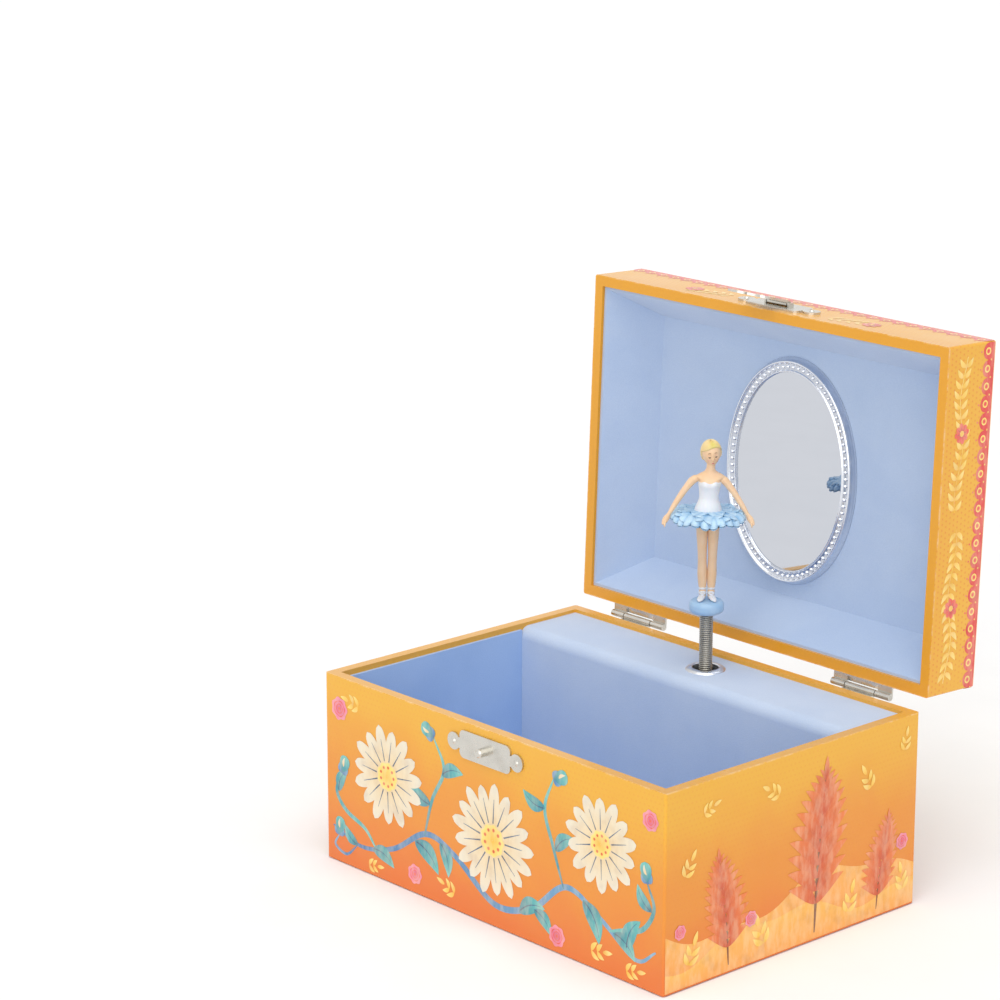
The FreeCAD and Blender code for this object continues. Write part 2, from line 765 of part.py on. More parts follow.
def make_hasp():
    """Swinging hasp: a flared tongue rolled over the wire, with a stud hole and a finger tab."""
    drop = pivot_z - catch_z
    waist = s.hasp_neck * 0.92
    tongue = [
        (-s.hasp_neck, 0),
        (-waist, -drop * 0.42, -s.hasp_flare),
        (-s.hasp_flare, -drop * 0.9, s.hasp_flare * 0.5),
        (-s.hasp_flare * 0.78, -drop * 1.2, -s.hasp_flare * 0.55),
        (-s.hasp_tab, -s.hasp_length * 0.88),
        (-s.hasp_tab, -s.hasp_length * 0.93, s.hasp_tab * 1.15),
        (s.hasp_tab, -s.hasp_length * 0.93),
        (s.hasp_tab, -s.hasp_length * 0.88, -s.hasp_flare * 0.55),
        (s.hasp_flare * 0.78, -drop * 1.2, s.hasp_flare * 0.5),
        (s.hasp_flare, -drop * 0.9, -s.hasp_flare),
        (waist, -drop * 0.42),
        (s.hasp_neck, 0),
    ]
    flap = padded("hasp_tongue", "XZ_Plane", tongue, s.latch_sheet)
    flap_y = pivot_y - s.hasp_roll + s.latch_sheet
    move(flap, (0, flap_y, pivot_z))
    roll = rod("hasp_curl", (-s.hasp_neck, pivot_y, pivot_z), ALONG_X, s.hasp_neck * 2, s.hasp_roll)
    bore = rod("hasp_bore", (-s.hasp_neck, pivot_y, pivot_z), ALONG_X, s.hasp_neck * 2, s.hasp_wire + s.running_gap)
    hole_y = flap_y - s.latch_sheet * 1.5
    eye = rod("hasp_eye", (0, hole_y, catch_z), ALONG_Y, s.latch_sheet * 2, s.stud_radius + s.stud_play)
    swing = (
        f"{LID_SWING} * placement(vector(0; 0; 0); rotation(vector(1; 0; 0); {(-s.hasp_rest).text}); "
        f"vector(0; {pivot_y.text}; {pivot_z.text}))"
    )
    keep("latch_hasp", cut("hasp", fuse("hasp_blank", [flap, roll]), [bore, eye]), swing)


# Gear train: pitch radii and the planes that the wheels run in
rim_pitch = s.rim_teeth * s.gear_module / 2
crown_pitch = s.crown_teeth * s.gear_module / 2
pinion_pitch = s.pinion_teeth * s.gear_module / 2
governor_pitch = s.governor_teeth * s.gear_module / 2
wheel_pitch = s.worm_wheel_teeth * s.gear_module / 2
rim_tip = rim_pitch + s.tooth_high
barrel_radius = rim_pitch - s.tooth_deep
barrel_inner = barrel_radius - s.barrel_wall
crown_plane = axis_y + pinion_pitch
barrel_front = crown_plane + s.tooth_deep
barrel_back = bed_face - s.barrel_gap
lug_low = barrel_z + rim_tip + s.barrel_gap
cylinder_low = lug_low + s.lug_thick + s.barrel_gap
cylinder_high = lug_high - s.barrel_gap
cylinder_length = cylinder_high - cylinder_low
comb_low = cylinder_low + s.note_margin
comb_high = cylinder_high - s.note_margin
note_pitch = (comb_high - comb_low) / s.note_count
comb_tip = s.dancer_x + s.cylinder_radius + s.pin_rise + s.fit_gap
comb_root = comb_tip + s.comb_long
comb_end = comb_root + s.comb_back
comb_front = axis_y - s.comb_thick / 2
disc_low = deck_top + s.coil_rise


def turn_share(angle, function, name):
    """The cosine or sine of an angle held in the sheet."""
    return Size(f"{name}({angle.text} * 1 deg)", function(math.radians(float(angle))))


gear_reach = rim_pitch + governor_pitch
governor_x = barrel_x + gear_reach * turn_share(s.governor_angle, math.cos, "cos")
governor_z = barrel_z + gear_reach * turn_share(s.governor_angle, math.sin, "sin")
wheel_back = crown_plane - s.tooth_high - s.barrel_gap
wheel_front = wheel_back - s.worm_face
worm_x = governor_x - wheel_pitch - s.worm_radius
worm_y = (wheel_front + wheel_back) / 2
worm_tip = s.worm_radius + s.tooth_high * 0.85
worm_core = s.worm_radius - s.tooth_deep * 0.95
strap_back = worm_y - worm_tip - s.barrel_gap
strap_front = strap_back - s.bracket_sheet
arm_low = governor_z - wheel_pitch - s.worm_length / 2
fan_low = governor_z + wheel_pitch + s.tooth_high + s.barrel_gap * 2
fan_high = fan_low + s.fan_height
arm_high = fan_high + s.barrel_gap * 2
fly_top = arm_high + s.bracket_sheet


def polar_y(radius, angle):
    """A point on a wheel whose axis runs along Y; the angle goes from +X towards +Z."""
    return Vector(radius * math.cos(angle), 0, radius * math.sin(angle))


def polar_z(radius, angle):
    """A point on a wheel whose axis is upright; the angle goes from +X towards +Y."""
    return Vector(radius * math.cos(angle), radius * math.sin(angle), 0)


def involute_gear(teeth, face, first_tooth, point, axis):
    """A spur gear with involute flanks, thinned for running play; `first_tooth` is in degrees."""
    module = float(s.gear_module)
    teeth = round(float(teeth))
    pitch = teeth * module / 2
    tip = pitch + float(s.tooth_high)
    root = pitch - float(s.tooth_deep)
    pressure = math.radians(20)
    base = pitch * math.cos(pressure)
    half_tooth = (math.pi * module / 2 - float(s.tooth_play)) / 2 / pitch

    def half_angle(radius):
        slope = math.acos(min(1.0, base / radius))
        return half_tooth + math.tan(pressure) - pressure - (math.tan(slope) - slope)

    radii = (root, pitch, tip)
    step = 2 * math.pi / teeth
    edges = []
    for number in range(teeth):
        centre = math.radians(float(first_tooth)) + number * step
        up = [point(radius, centre - half_angle(radius)) for radius in radii]
        down = [point(radius, centre + half_angle(radius)) for radius in reversed(radii)]
        next_root = point(root, centre + step - half_angle(root))
        edges.append(Part.Arc(*up).toShape())
        edges.append(Part.Arc(up[-1], point(tip, centre), down[0]).toShape())
        edges.append(Part.Arc(*down).toShape())
        edges.append(Part.Arc(down[-1], point(root, centre + step / 2), next_root).toShape())
    return Part.Face(Part.Wire(edges)).extrude(axis * float(face))


def make_movement_frame():
    """Cast bedplate with two lugs for the cylinder and a post for the comb."""
    plate = block("bed", (-s.bed_left, bed_face, s.bed_low), (s.bed_right, in_y, bed_high))
    rounded = doc.addObject("Part::Fillet", "bed_rounded")
    rounded.Base = plate
    radius = float(s.bed_round)
    rounded.Edges = [(edge, radius, radius) for edge in (2, 4, 6, 8)]
    pieces = [rounded]
    for name, level in (("lug_lower", lug_low), ("lug_upper", lug_high)):
        low = (s.dancer_x - s.lug_half, axis_y - s.lug_reach, level)
        high = (s.dancer_x + s.lug_half, in_y, level + s.lug_thick)
        pieces.append(block(name, low, high))
    pieces.append(block("comb_post", (comb_root, comb_front + s.comb_thick, comb_low), (comb_end, in_y, comb_high)))
    run = s.running_gap
    lug_span = lug_high + s.lug_thick - lug_low
    tools = [
        rod("bed_axle_bore", (s.dancer_x, axis_y, lug_low), ALONG_Z, lug_span, s.axle_radius + run),
        rod("bed_arbor_bore", (barrel_x, bed_face, barrel_z), ALONG_Y, s.bedplate, s.arbor_radius + run),
        rod("bed_wheel_bore", (governor_x, bed_face, governor_z), ALONG_Y, s.bedplate, s.axle_radius + run),
    ]
    for number, (across, level) in enumerate(screw_places):
        place = (across, bed_face, level)
        tools.append(rod(f"bed_screw_bore_{number}", place, ALONG_Y, s.bedplate, s.screw_shank))
    for number, (across, front, level, _) in enumerate(small_screws()):
        place = (across, front, level)
        tools.append(rod(f"bed_tap_{number}", place, ALONG_Y, s.comb_back, s.nail_shank * 2))
    keep("movement_frame", cut("bed_bored", fuse("bed_cast", pieces), tools))


def small_screws():
    """Seats of the comb's and the bracket's screws, each with the sheet that it holds."""
    comb_x = (comb_root + comb_end) / 2
    quarter = (comb_high - comb_low) / 4
    return (
        (comb_x, comb_front, comb_low + quarter, s.comb_thick),
        (comb_x, comb_front, comb_high - quarter, s.comb_thick),
        (worm_x, bed_face - s.bracket_sheet, (fan_low + fan_high) / 2, s.bracket_sheet),
    )


def make_screws():
    """Mounting screws through the back board, and the small screws inside."""
    pieces = []
    for number, (across, level) in enumerate(screw_places):
        length = half_d - bed_face
        shank = rod(f"mount_shank_{number}", (across, bed_face, level), ALONG_Y, length, s.screw_shank)
        head = rod(f"mount_head_{number}", (across, half_d, level), ALONG_Y, s.screw_shank, s.screw_head)
        pieces.append(fuse(f"mount_screw_{number}", [shank, head]))
    keep("movement_screws", group("mount_screws", pieces))
    pieces = []
    for number, (across, front, level, _) in enumerate(small_screws()):
        radius = s.nail_shank * 2
        shank = rod(f"small_shank_{number}", (across, front, level), ALONG_Y, s.bedplate, radius)
        head = rod(f"small_head_{number}", (across, front - radius, level), ALONG_Y, radius, radius * 2)
        pieces.append(fuse(f"small_screw_{number}", [shank, head]))
    keep("frame_screws", group("small_screws_set", pieces))


def make_comb():
    """Eighteen-tooth steel comb, its slots deeper towards the bass end below."""
    high_y = comb_front + s.comb_thick
    plate = block("comb_plate", (comb_tip, comb_front, comb_low), (comb_end, high_y, comb_high))
    count = round(float(s.note_count))
    tools = []
    for number in range(1, count):
        level = comb_low + note_pitch * number
        share = (count - number) / count
        depth = s.comb_short + (s.comb_long - s.comb_short) * share
        low = (comb_tip - 1, comb_front, level - s.comb_slot / 2)
        high = (comb_tip + depth, high_y, level + s.comb_slot / 2)
        tools.append(block(f"comb_slot_{number}", low, high))
    for number, (across, front, level, thick) in enumerate(small_screws()[:2]):
        tools.append(rod(f"comb_bore_{number}", (across, front, level), ALONG_Y, thick, s.nail_shank * 2))
    keep("comb", cut("comb_cut", plate, tools))


def crown_teeth():
    """Face teeth round the front of the barrel, thinned like the spur teeth."""
    count = round(float(s.crown_teeth))
    high = float(s.tooth_high)
    deep = float(s.tooth_deep) + 0.1
    lean = math.tan(math.radians(20))
    half = (math.pi * float(s.gear_module) / 2 - float(s.tooth_play)) / 2
    inner = float(crown_pitch - s.crown_face / 2)
    teeth = []
    for number in range(count):
        outline = [
            Vector(-half - deep * lean, deep, inner),
            Vector(-half + high * lean, -high, inner),
            Vector(half - high * lean, -high, inner),
            Vector(half + deep * lean, deep, inner),
        ]
        face = Part.Face(Part.makePolygon(outline + outline[:1]))
        tooth = face.extrude(Vector(0, 0, float(s.crown_face)))
        tooth.rotate(Vector(), ALONG_Y, number * 360 / count)
        teeth.append(tooth)
    return Part.makeCompound(teeth)


def make_barrel():
    """Spring barrel: a cup with a toothed rim, face teeth in front, a cap behind and the spring inside."""
    length = barrel_back - barrel_front
    drum = rod("barrel_drum", (barrel_x, barrel_front, barrel_z), ALONG_Y, length, barrel_radius)
    rim_gear = solid("barrel_rim", involute_gear(s.rim_teeth, s.rim_face, s.governor_angle, polar_y, ALONG_Y))
    move(rim_gear, (barrel_x, barrel_back - s.rim_face, barrel_z))
    crown = solid("barrel_crown", crown_teeth())
    move(crown, (barrel_x, crown_plane, barrel_z))
    floor = barrel_front + s.barrel_floor
    hollow = rod("barrel_hollow", (barrel_x, floor, barrel_z), ALONG_Y, length, barrel_inner)
    bore_radius = s.arbor_radius + s.running_gap
    bore = rod("barrel_bore", (barrel_x, barrel_front, barrel_z), ALONG_Y, length, bore_radius)
    keep("spring_barrel", cut("barrel_cup", fuse("barrel_blank", [drum, rim_gear, crown]), [hollow, bore]))
    cap_front = barrel_back - s.cap_thick
    cap = rod("cap_disc", (barrel_x, cap_front, barrel_z), ALONG_Y, s.cap_thick, barrel_inner)
    cap_bore = rod("cap_bore", (barrel_x, cap_front, barrel_z), ALONG_Y, s.cap_thick, bore_radius)
    keep("barrel_cap", cut("cap", cap, [cap_bore]))
    spring = solid("wound_spring", mainspring_strip(cap_front - floor - s.fit_gap * 2))
    keep("mainspring", spring)
    move(spring, (barrel_x, floor + s.fit_gap, barrel_z))


def mainspring_strip(width):
    """A flat spiral of half circles whose centres alternate, from the hub to the barrel wall."""
    half = float(s.mainspring_strip) / 2
    shift = float(s.mainspring_step) / 2
    start = float(s.arbor_hub + s.fit_gap) + half
    turns = int((float(barrel_inner - s.fit_gap) - half - start) / (2 * shift))

    def edge(offset):
        arcs = []
        for number in range(turns):
            radius = start + number * 2 * shift + offset
            lower = radius + shift
            right = Vector(radius, 0, 0)
            left = Vector(-radius, 0, 0)
            out = Vector(radius + 2 * shift, 0, 0)
            arcs.append(Part.Arc(right, Vector(0, 0, radius), left).toShape())
            arcs.append(Part.Arc(left, Vector(shift, 0, -lower), out).toShape())
        return arcs

    outer = edge(half)
    inner = edge(-half)
    end = start + turns * 2 * shift
    close_start = Part.makeLine(Vector(start - half, 0, 0), Vector(start + half, 0, 0))
    close_end = Part.makeLine(Vector(end + half, 0, 0), Vector(end - half, 0, 0))
    wire = Part.Wire(Part.__sortEdges__(outer + inner + [close_start, close_end]))
    return Part.Face(wire).extrude(ALONG_Y * float(width))


def make_key():
    """Winding arbor through the back board with a butterfly key on its end."""
    front = barrel_front - s.fit_gap
    hub_low = barrel_front + s.barrel_floor + s.fit_gap
    hub_high = barrel_back - s.cap_thick - s.fit_gap
    key_low = half_d + s.key_stand
    key_end = key_low + s.key_hub_length
    bore_length = s.key_hub_length - s.key_thick
    arbor_length = key_low + bore_length - front
    arbor = rod("arbor_rod", (barrel_x, front, barrel_z), ALONG_Y, arbor_length, s.arbor_radius)
    hub = rod("arbor_collar", (barrel_x, hub_low, barrel_z), ALONG_Y, hub_high - hub_low, s.arbor_hub)
    keep("winding_arbor", fuse("arbor", [arbor, hub]))
    low = barrel_z - s.key_thick / 2
    high = barrel_z + s.key_thick / 2
    sleeve = rod("key_sleeve", (barrel_x, key_low, barrel_z), ALONG_Y, s.key_hub_length, s.key_hub)
    web_low = (barrel_x - s.key_span, key_end - s.key_wing * 0.6, low)
    web_high = (barrel_x + s.key_span, key_end + s.key_wing * 0.35, high)
    pieces = [sleeve, block("key_web", web_low, web_high)]
    tools = [rod("key_bore", (barrel_x, key_low, barrel_z), ALONG_Y, bore_length, s.arbor_radius)]
    for side in (-1, 1):
        place = (barrel_x + s.key_span * side, key_end, low)
        pieces.append(rod(f"key_wing_{side + 1}", place, ALONG_Z, s.key_thick, s.key_wing))
        tools.append(rod(f"key_eye_{side + 1}", place, ALONG_Z, s.key_thick, s.key_wing_hole))
    keep("winding_key", cut("key", fuse("key_blank", pieces), tools))


def pinned_tube():
    """The brass cylinder with its note pins, set round each track by the golden angle."""
    radius = float(s.cylinder_radius)
    length = float(cylinder_length)
    tube = Part.makeCylinder(radius, length)
    pins = []
    golden = 137.508
    per_note = round(float(s.pins_per_note))
    for note in range(round(float(s.note_count))):
        level = float(s.note_margin) + (note + 0.5) * float(note_pitch)
        for turn in range(per_note):
            pin = Part.makeCylinder(float(s.note_pin), 1 + float(s.pin_rise), Vector(radius - 1, 0, level), ALONG_X)
            pin.rotate(Vector(), ALONG_Z, (note * per_note + turn) * golden)
            pins.append(pin)
    bore = Part.makeCylinder(float(s.axle_radius), length)
    return tube.multiFuse(pins).cut(bore)


def make_cylinder():
    """Pinned cylinder on its arbor, with the pinion below and the dancer's hub above."""
    pinion_low = barrel_z + crown_pitch - s.pinion_face / 2
    hub_top = deck_top - s.deck_drop
    axle_low = pinion_low - s.fit_gap
    axle = rod("axle", (s.dancer_x, axis_y, axle_low), ALONG_Z, hub_top - axle_low, s.axle_radius)
    keep("cylinder_arbor", axle)
    tube = keep("pinned_cylinder", solid("note_cylinder", pinned_tube()))
    move(tube, (s.dancer_x, axis_y, cylinder_low))
    half_step = 180 / s.pinion_teeth
    first_tooth = 90 + half_step
    toothed = solid("pinion_teeth_ring", involute_gear(s.pinion_teeth, s.pinion_face, first_tooth, polar_z, ALONG_Z))
    move(toothed, (s.dancer_x, axis_y, pinion_low))
    bore = rod("pinion_bore", (s.dancer_x, axis_y, pinion_low), ALONG_Z, s.pinion_face, s.axle_radius)
    keep("cylinder_pinion", cut("pinion", toothed, [bore]))
    plug = s.coil_radius - s.coil_wire / 2 - s.fit_gap
    collar = rod("hub_collar", (s.dancer_x, axis_y, hub_low), ALONG_Z, s.hub_collar, s.coil_radius)
    post = rod("hub_post", (s.dancer_x, axis_y, hub_low), ALONG_Z, hub_top - hub_low, plug)
    hub_bore = rod("hub_bore", (s.dancer_x, axis_y, hub_low), ALONG_Z, hub_top - hub_low, s.axle_radius)
    keep("dancer_hub", cut("hub", fuse("hub_blank", [collar, post]), [hub_bore]))


def make_governor():
    """Governor wheel with its pinion on one arbor, and the bracket that carries it and the fly."""
    pinion_front = barrel_back - s.rim_face
    first_tooth = s.governor_angle + 180 + 180 / s.governor_teeth
    pinion = solid("governor_leaves", involute_gear(s.governor_teeth, s.rim_face, first_tooth, polar_y, ALONG_Y))
    move(pinion, (governor_x, pinion_front, governor_z))
    wheel = solid("governor_disc", involute_gear(s.worm_wheel_teeth, s.worm_face, 180, polar_y, ALONG_Y))
    move(wheel, (governor_x, wheel_front, governor_z))
    axle_length = bed_face + s.bedplate / 2 - strap_front
    axle = rod("governor_axle", (governor_x, strap_front, governor_z), ALONG_Y, axle_length, s.axle_radius)
    keep("governor_wheel", fuse("governor_train", [pinion, wheel, axle]))
    thick = s.bracket_sheet
    reach = s.screw_head * 1.2
    left = worm_x - reach
    right = worm_x + reach
    arm_front = worm_y - reach
    strap_right = governor_x + reach
    pieces = [
        block("bracket_flange", (left, bed_face - thick, arm_low), (right, bed_face, fly_top)),
        block("bracket_arm_low", (left, strap_front, arm_low), (right, bed_face, arm_low + thick)),
        block("bracket_arm_high", (left, arm_front, arm_high), (right, bed_face, fly_top)),
        block("bracket_strap", (left, strap_front, arm_low), (strap_right, strap_back, governor_z + reach)),
    ]
    run = s.running_gap
    fly_length = fly_top - arm_low
    _, front, level, _ = small_screws()[2]
    tools = [
        rod("bracket_fly_bore", (worm_x, worm_y, arm_low), ALONG_Z, fly_length, s.fly_axle + run),
        rod("bracket_wheel_bore", (governor_x, strap_front, governor_z), ALONG_Y, thick, s.axle_radius + run),
        rod("bracket_screw_bore", (worm_x, front, level), ALONG_Y, thick, s.nail_shank * 2),
    ]
    keep("governor_bracket", cut("bracket", fuse("bracket_bent", pieces), tools))


def worm_thread():
    """One right-hand thread swept round the worm, three turns about the wheel's level."""
    lead = math.pi * float(s.gear_module)
    inner = float(worm_core) - 0.15
    outer = float(worm_tip)
    half_root = float(s.worm_thread) / 2 + (float(s.worm_radius) - inner) * math.tan(math.radians(14))
    half_tip = float(s.worm_thread) / 2 - (outer - float(s.worm_radius)) * math.tan(math.radians(14))
    corners = [
        Vector(inner, 0, -half_root),
        Vector(outer, 0, -half_tip),
        Vector(outer, 0, half_tip),
        Vector(inner, 0, half_root),
    ]
    path = Part.Wire(Part.makeHelix(lead, 3 * lead, float(s.worm_radius)))
    thread = path.makePipeShell([Part.makePolygon(corners + corners[:1])], True, True)
    thread.translate(Vector(0, 0, -1.5 * lead))
    return thread


def make_fly():
    """Endless screw with its pivots, and the two-bladed fan that brakes it."""
    lift = governor_z - arm_low
    pivot = float(s.fly_axle)
    low = float(s.bracket_sheet + s.barrel_gap)
    high = float(arm_high - arm_low - s.barrel_gap)
    core = Part.makeCylinder(float(worm_core), high - low, Vector(0, 0, low))
    core = core.fuse(Part.makeCylinder(pivot, float(fly_top - arm_low)))
    thread = worm_thread()
    thread.translate(Vector(0, 0, float(lift)))
    worm = keep("fly_worm", solid("worm", core.fuse(thread)))
    move(worm, (worm_x, worm_y, arm_low))
    sleeve = rod("fan_sleeve", (worm_x, worm_y, fan_low), ALONG_Z, s.fan_height, worm_core + s.fan_thick)
    half = s.fan_thick / 2
    blade_low = (worm_x - s.fan_radius, worm_y - half, fan_low)
    blade_high = (worm_x + s.fan_radius, worm_y + half, fan_high)
    bore = rod("fan_bore", (worm_x, worm_y, fan_low), ALONG_Z, s.fan_height, worm_core)
    keep("fly_fan", cut("fan", fuse("fan_blank", [sleeve, block("fan_blades", blade_low, blade_high)]), [bore]))


def tangent_arc(start, direction, end):
    """The arc that leaves `start` along `direction` and ends at `end`."""
    chord = end - start
    along = chord * (1 / chord.Length)
    side = direction - along * direction.dot(along)
    bend = math.atan2(side.Length, direction.dot(along))
    middle = (start + end) / 2 + side.normalize() * (chord.Length / 2 * math.tan(bend / 2))
    return Part.Arc(start, middle, end).toShape()


def helix_path(radius, pitch, length):
    """A helix made of half-turn biarcs; returns the path and its sampled points."""
    halves = round(2 * length / pitch)
    rise = length / halves
    slope = rise / math.pi

    def place(number):
        return Vector(radius * (-1) ** number, 0, rise * number)

    def heading(number):
        return Vector(0, radius * (-1) ** number, slope).normalize()

    edges = []
    for number in range(halves):
        start, end = place(number), place(number + 1)
        first, last = heading(number), heading(number + 1)
        span = end - start
        both = first + last
        a = 2 * (first.dot(last) - 1)
        b = -2 * span.dot(both)
        c = span.dot(span)
        reach = (-b - math.sqrt(b * b - 4 * a * c)) / (2 * a)
        joint = (start + end + (first - last) * reach) / 2
        edges.append(tangent_arc(start, first, joint))
        edges.append(tangent_arc(end, last * -1, joint))
    points = [p for edge in edges for p in edge.discretize(9)[:-1]]
    return Part.Wire(Part.__sortEdges__(edges)), points, halves


def least_gap(points, per_turn, wire):
    """The least free distance between neighbouring turns of a coil."""
    nearest = math.inf
    for number, here in enumerate(points):
        for other in points[number + per_turn // 2:number + per_turn * 2]:
            nearest = min(nearest, here.distanceToPoint(other))
    return nearest - wire


def make_coil():
    """Coil spring between the hub and the dancer's disc, one unbroken wire."""
    length = float(s.coil_sunk + s.coil_rise + s.coil_tuck)
    radius = float(s.coil_radius)
    wire = float(s.coil_wire)
    path, points, _ = helix_path(radius, float(s.coil_pitch), length)
    start = Vector(radius, 0, 0)
    section = Part.Wire(Part.makeCircle(wire / 2, start, Vector(0, 1, 0)))
    coil = keep("dancer_spring", solid("coil", path.makePipeShell([section], True, False)))
    move(coil, (s.dancer_x, axis_y, coil_low))
    print(f"dancer_spring least gap {least_gap(points, 32, wire):.3f} mm")


def make_disc():
    """Round stand under the dancer's feet with a socket for the spring."""
    socket = s.coil_radius + s.coil_wire / 2 + s.fit_gap
    deep = s.coil_tuck + s.coil_wire / 2 + s.fit_gap
    under = s.disc_height * 0.3
    over = s.disc_height * 0.35
    profile = [
        (socket, 0),
        (s.disc_radius - under, 0, under),
        (s.disc_radius, under),
        (s.disc_radius, s.disc_height - over, over),
        (s.disc_radius - over, s.disc_height),
        (0, s.disc_height),
        (0, deep),
        (socket, deep),
    ]
    keep("dancer_disc", turned("stand", profile, (s.dancer_x, axis_y, disc_low)))


figure_low = disc_low + s.disc_height


def dancer_place(rise):
    """The dancer's own frame, turned to face out over the tray, at a height above the disc."""
    level = figure_low + rise
    return (
        f"placement(vector({s.dancer_x.text}; {axis_y.text}; {level.text}); "
        f"rotation(vector(0; 0; 1); {s.figure_turn.text}))"
    )


def limb(points, tall, side=1):
    """A smooth limb through (across, back, up, radius) points given as shares of the figure's height."""
    places = [Vector(side * x * tall, y * tall, z * tall) for x, y, z, _ in points]
    rings = []
    for number, (place, point) in enumerate(zip(places, points)):
        before = places[max(number - 1, 0)]
        after = places[min(number + 1, len(places) - 1)]
        rings.append(Part.Wire(Part.makeCircle(point[3] * tall, place, after - before)))
    return Part.makeLoft(rings, True)


LEG = ((0.027, 0, 0.03, 0.021), (0.029, 0.005, 0.16, 0.030), (0.030, 0, 0.25, 0.027),
       (0.033, 0, 0.40, 0.034), (0.036, 0, 0.52, 0.036))
SHOE = ((0.024, 0.026, 0.020, 0.014), (0.030, 0.004, 0.020, 0.021), (0.040, -0.040, 0.016, 0.019),
        (0.050, -0.076, 0.010, 0.009))
ARM = ((0.086, 0, 0.765, 0.027), (0.128, 0, 0.715, 0.023), (0.172, -0.004, 0.655, 0.020),
       (0.232, -0.020, 0.545, 0.015), (0.262, -0.030, 0.500, 0.017), (0.286, -0.040, 0.468, 0.006))
TRUNK = ((0.50, 0.070, 0.060), (0.57, 0.080, 0.068), (0.61, 0.072, 0.060), (0.66, 0.060, 0.050),
         (0.71, 0.068, 0.058), (0.745, 0.073, 0.060), (0.775, 0.088, 0.046), (0.795, 0.062, 0.040),
         (0.812, 0.034, 0.032))
HEAD_LEVEL = 0.917
HEAD_TALL = 0.083
HEAD_WIDE = 0.068


def dancer_shape():
    """The moulded dancer: legs in pumps, bodice, bowed arms, neck, head and hair bun."""
    tall = float(s.figure_height)
    pieces = []
    for side in (-1, 1):
        pieces += [limb(LEG, tall, side), limb(SHOE, tall, side), limb(ARM, tall, side)]
    trunk = []
    for level, wide, deep in TRUNK:
        trunk.append(Part.Wire(Part.Ellipse(Vector(0, 0, level * tall), wide * tall, deep * tall).toShape()))
    pieces.append(Part.makeLoft(trunk, True))
    pieces.append(Part.makeCylinder(0.032 * tall, 0.07 * tall, Vector(0, 0, 0.795 * tall)))
    centre = Vector(0, -0.008 * tall, HEAD_LEVEL * tall)
    crown = centre + ALONG_Z * HEAD_TALL * tall
    meridian = Part.Ellipse(crown, centre + ALONG_X * HEAD_WIDE * tall, centre)
    half = Part.ArcOfEllipse(meridian, 0, math.pi).toShape()
    axis_line = Part.makeLine(half.Vertexes[-1].Point, half.Vertexes[0].Point)
    pieces.append(Part.Face(Part.Wire([half, axis_line])).revolve(centre, ALONG_Z, 360))
    pieces.append(Part.makeSphere(0.040 * tall, Vector(0, 0.050 * tall, 0.962 * tall)))
    body = pieces[0].multiFuse(pieces[1:])
    below = Part.makeBox(tall, tall, tall, Vector(-tall / 2, -tall / 2, -tall))
    return body.cut(below)


def frill_ring(radius, dip, level, lobes):
    """A closed ring of equal round lobes."""
    edges = []
    for number in range(lobes):
        first, middle, last = ((number + share) * 2 * math.pi / lobes for share in (0, 0.5, 1))
        ends = [polar_z(radius - dip, angle) + ALONG_Z * level for angle in (first, last)]
        crest = polar_z(radius, middle) + ALONG_Z * level
        edges.append(Part.Arc(ends[0], crest, ends[1]).toShape())
    return Part.Wire(edges)


FRILLS = ((0.0, 0.66, 0.01), (0.10, 0.985, 0.055), (0.28, 1.0, 0.065), (0.46, 0.80, 0.045),
          (0.75, 0.52, 0.025), (1.0, 0.385, 0.012))
FRILL_LOBES = 14


def make_dancer():
    """The figure and its ruffled tutu on the disc."""
    figure = dancer_shape()
    wide = float(s.tutu_radius)
    tall = float(s.tutu_height)
    rings = [frill_ring(share * wide, dip * wide, up * tall, FRILL_LOBES) for up, share, dip in FRILLS]
    skirt = Part.makeLoft(rings, True, True)
    skirt.translate(Vector(0, 0, float(s.tutu_level)))
    keep("dancer_figure", solid("figure", figure), dancer_place(as_size(0)))
    keep("dancer_tutu", solid("tutu", skirt.cut(figure)), dancer_place(as_size(0)))


def check_and_write():
    """Recompute, refuse any failed object or bad shape, and write one file for each sub-part."""
    doc.recompute()
    failed = [item.Name for item in doc.Objects if {"Invalid", "Error"} & set(item.State)]
    bad = [label for label, item in nodes.items() if item.Shape.isNull() or not item.Shape.isValid()]
    if failed or bad:
        raise RuntimeError(f"failed objects {failed}, bad shapes {bad}")
    os.makedirs("parts", exist_ok=True)
    for label, item in nodes.items():
        item.Shape.exportStep(f"parts/{label}.step")
    print(f"{len(nodes)} sub-parts written")


make_base_boards()
make_base_paper()
make_tray()
make_cover()
make_eyelet()
make_lid_boards()
make_lid_paper()
make_lid_liner()
make_mirror()
make_hinges()
make_catch()
make_lid_plate()
make_hasp()
make_movement_frame()
make_screws()
make_comb()
make_barrel()
make_key()
make_cylinder()
make_governor()
make_fly()
make_coil()
make_disc()
make_dancer()
check_and_write()
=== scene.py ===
"""Looks of a ballerina jewellery box: printed paper, flock, plated fittings, an oval mirror and a dancer.

Sizes are in millimetres in the box's own frame and become metres where a mesh is made. The lid's pieces are
drawn shut and then swung open about the hinge pin, as the solids are.
"""

import logging
import math
from dataclasses import dataclass, field
from enum import Enum
from typing import Any, ClassVar, Sequence

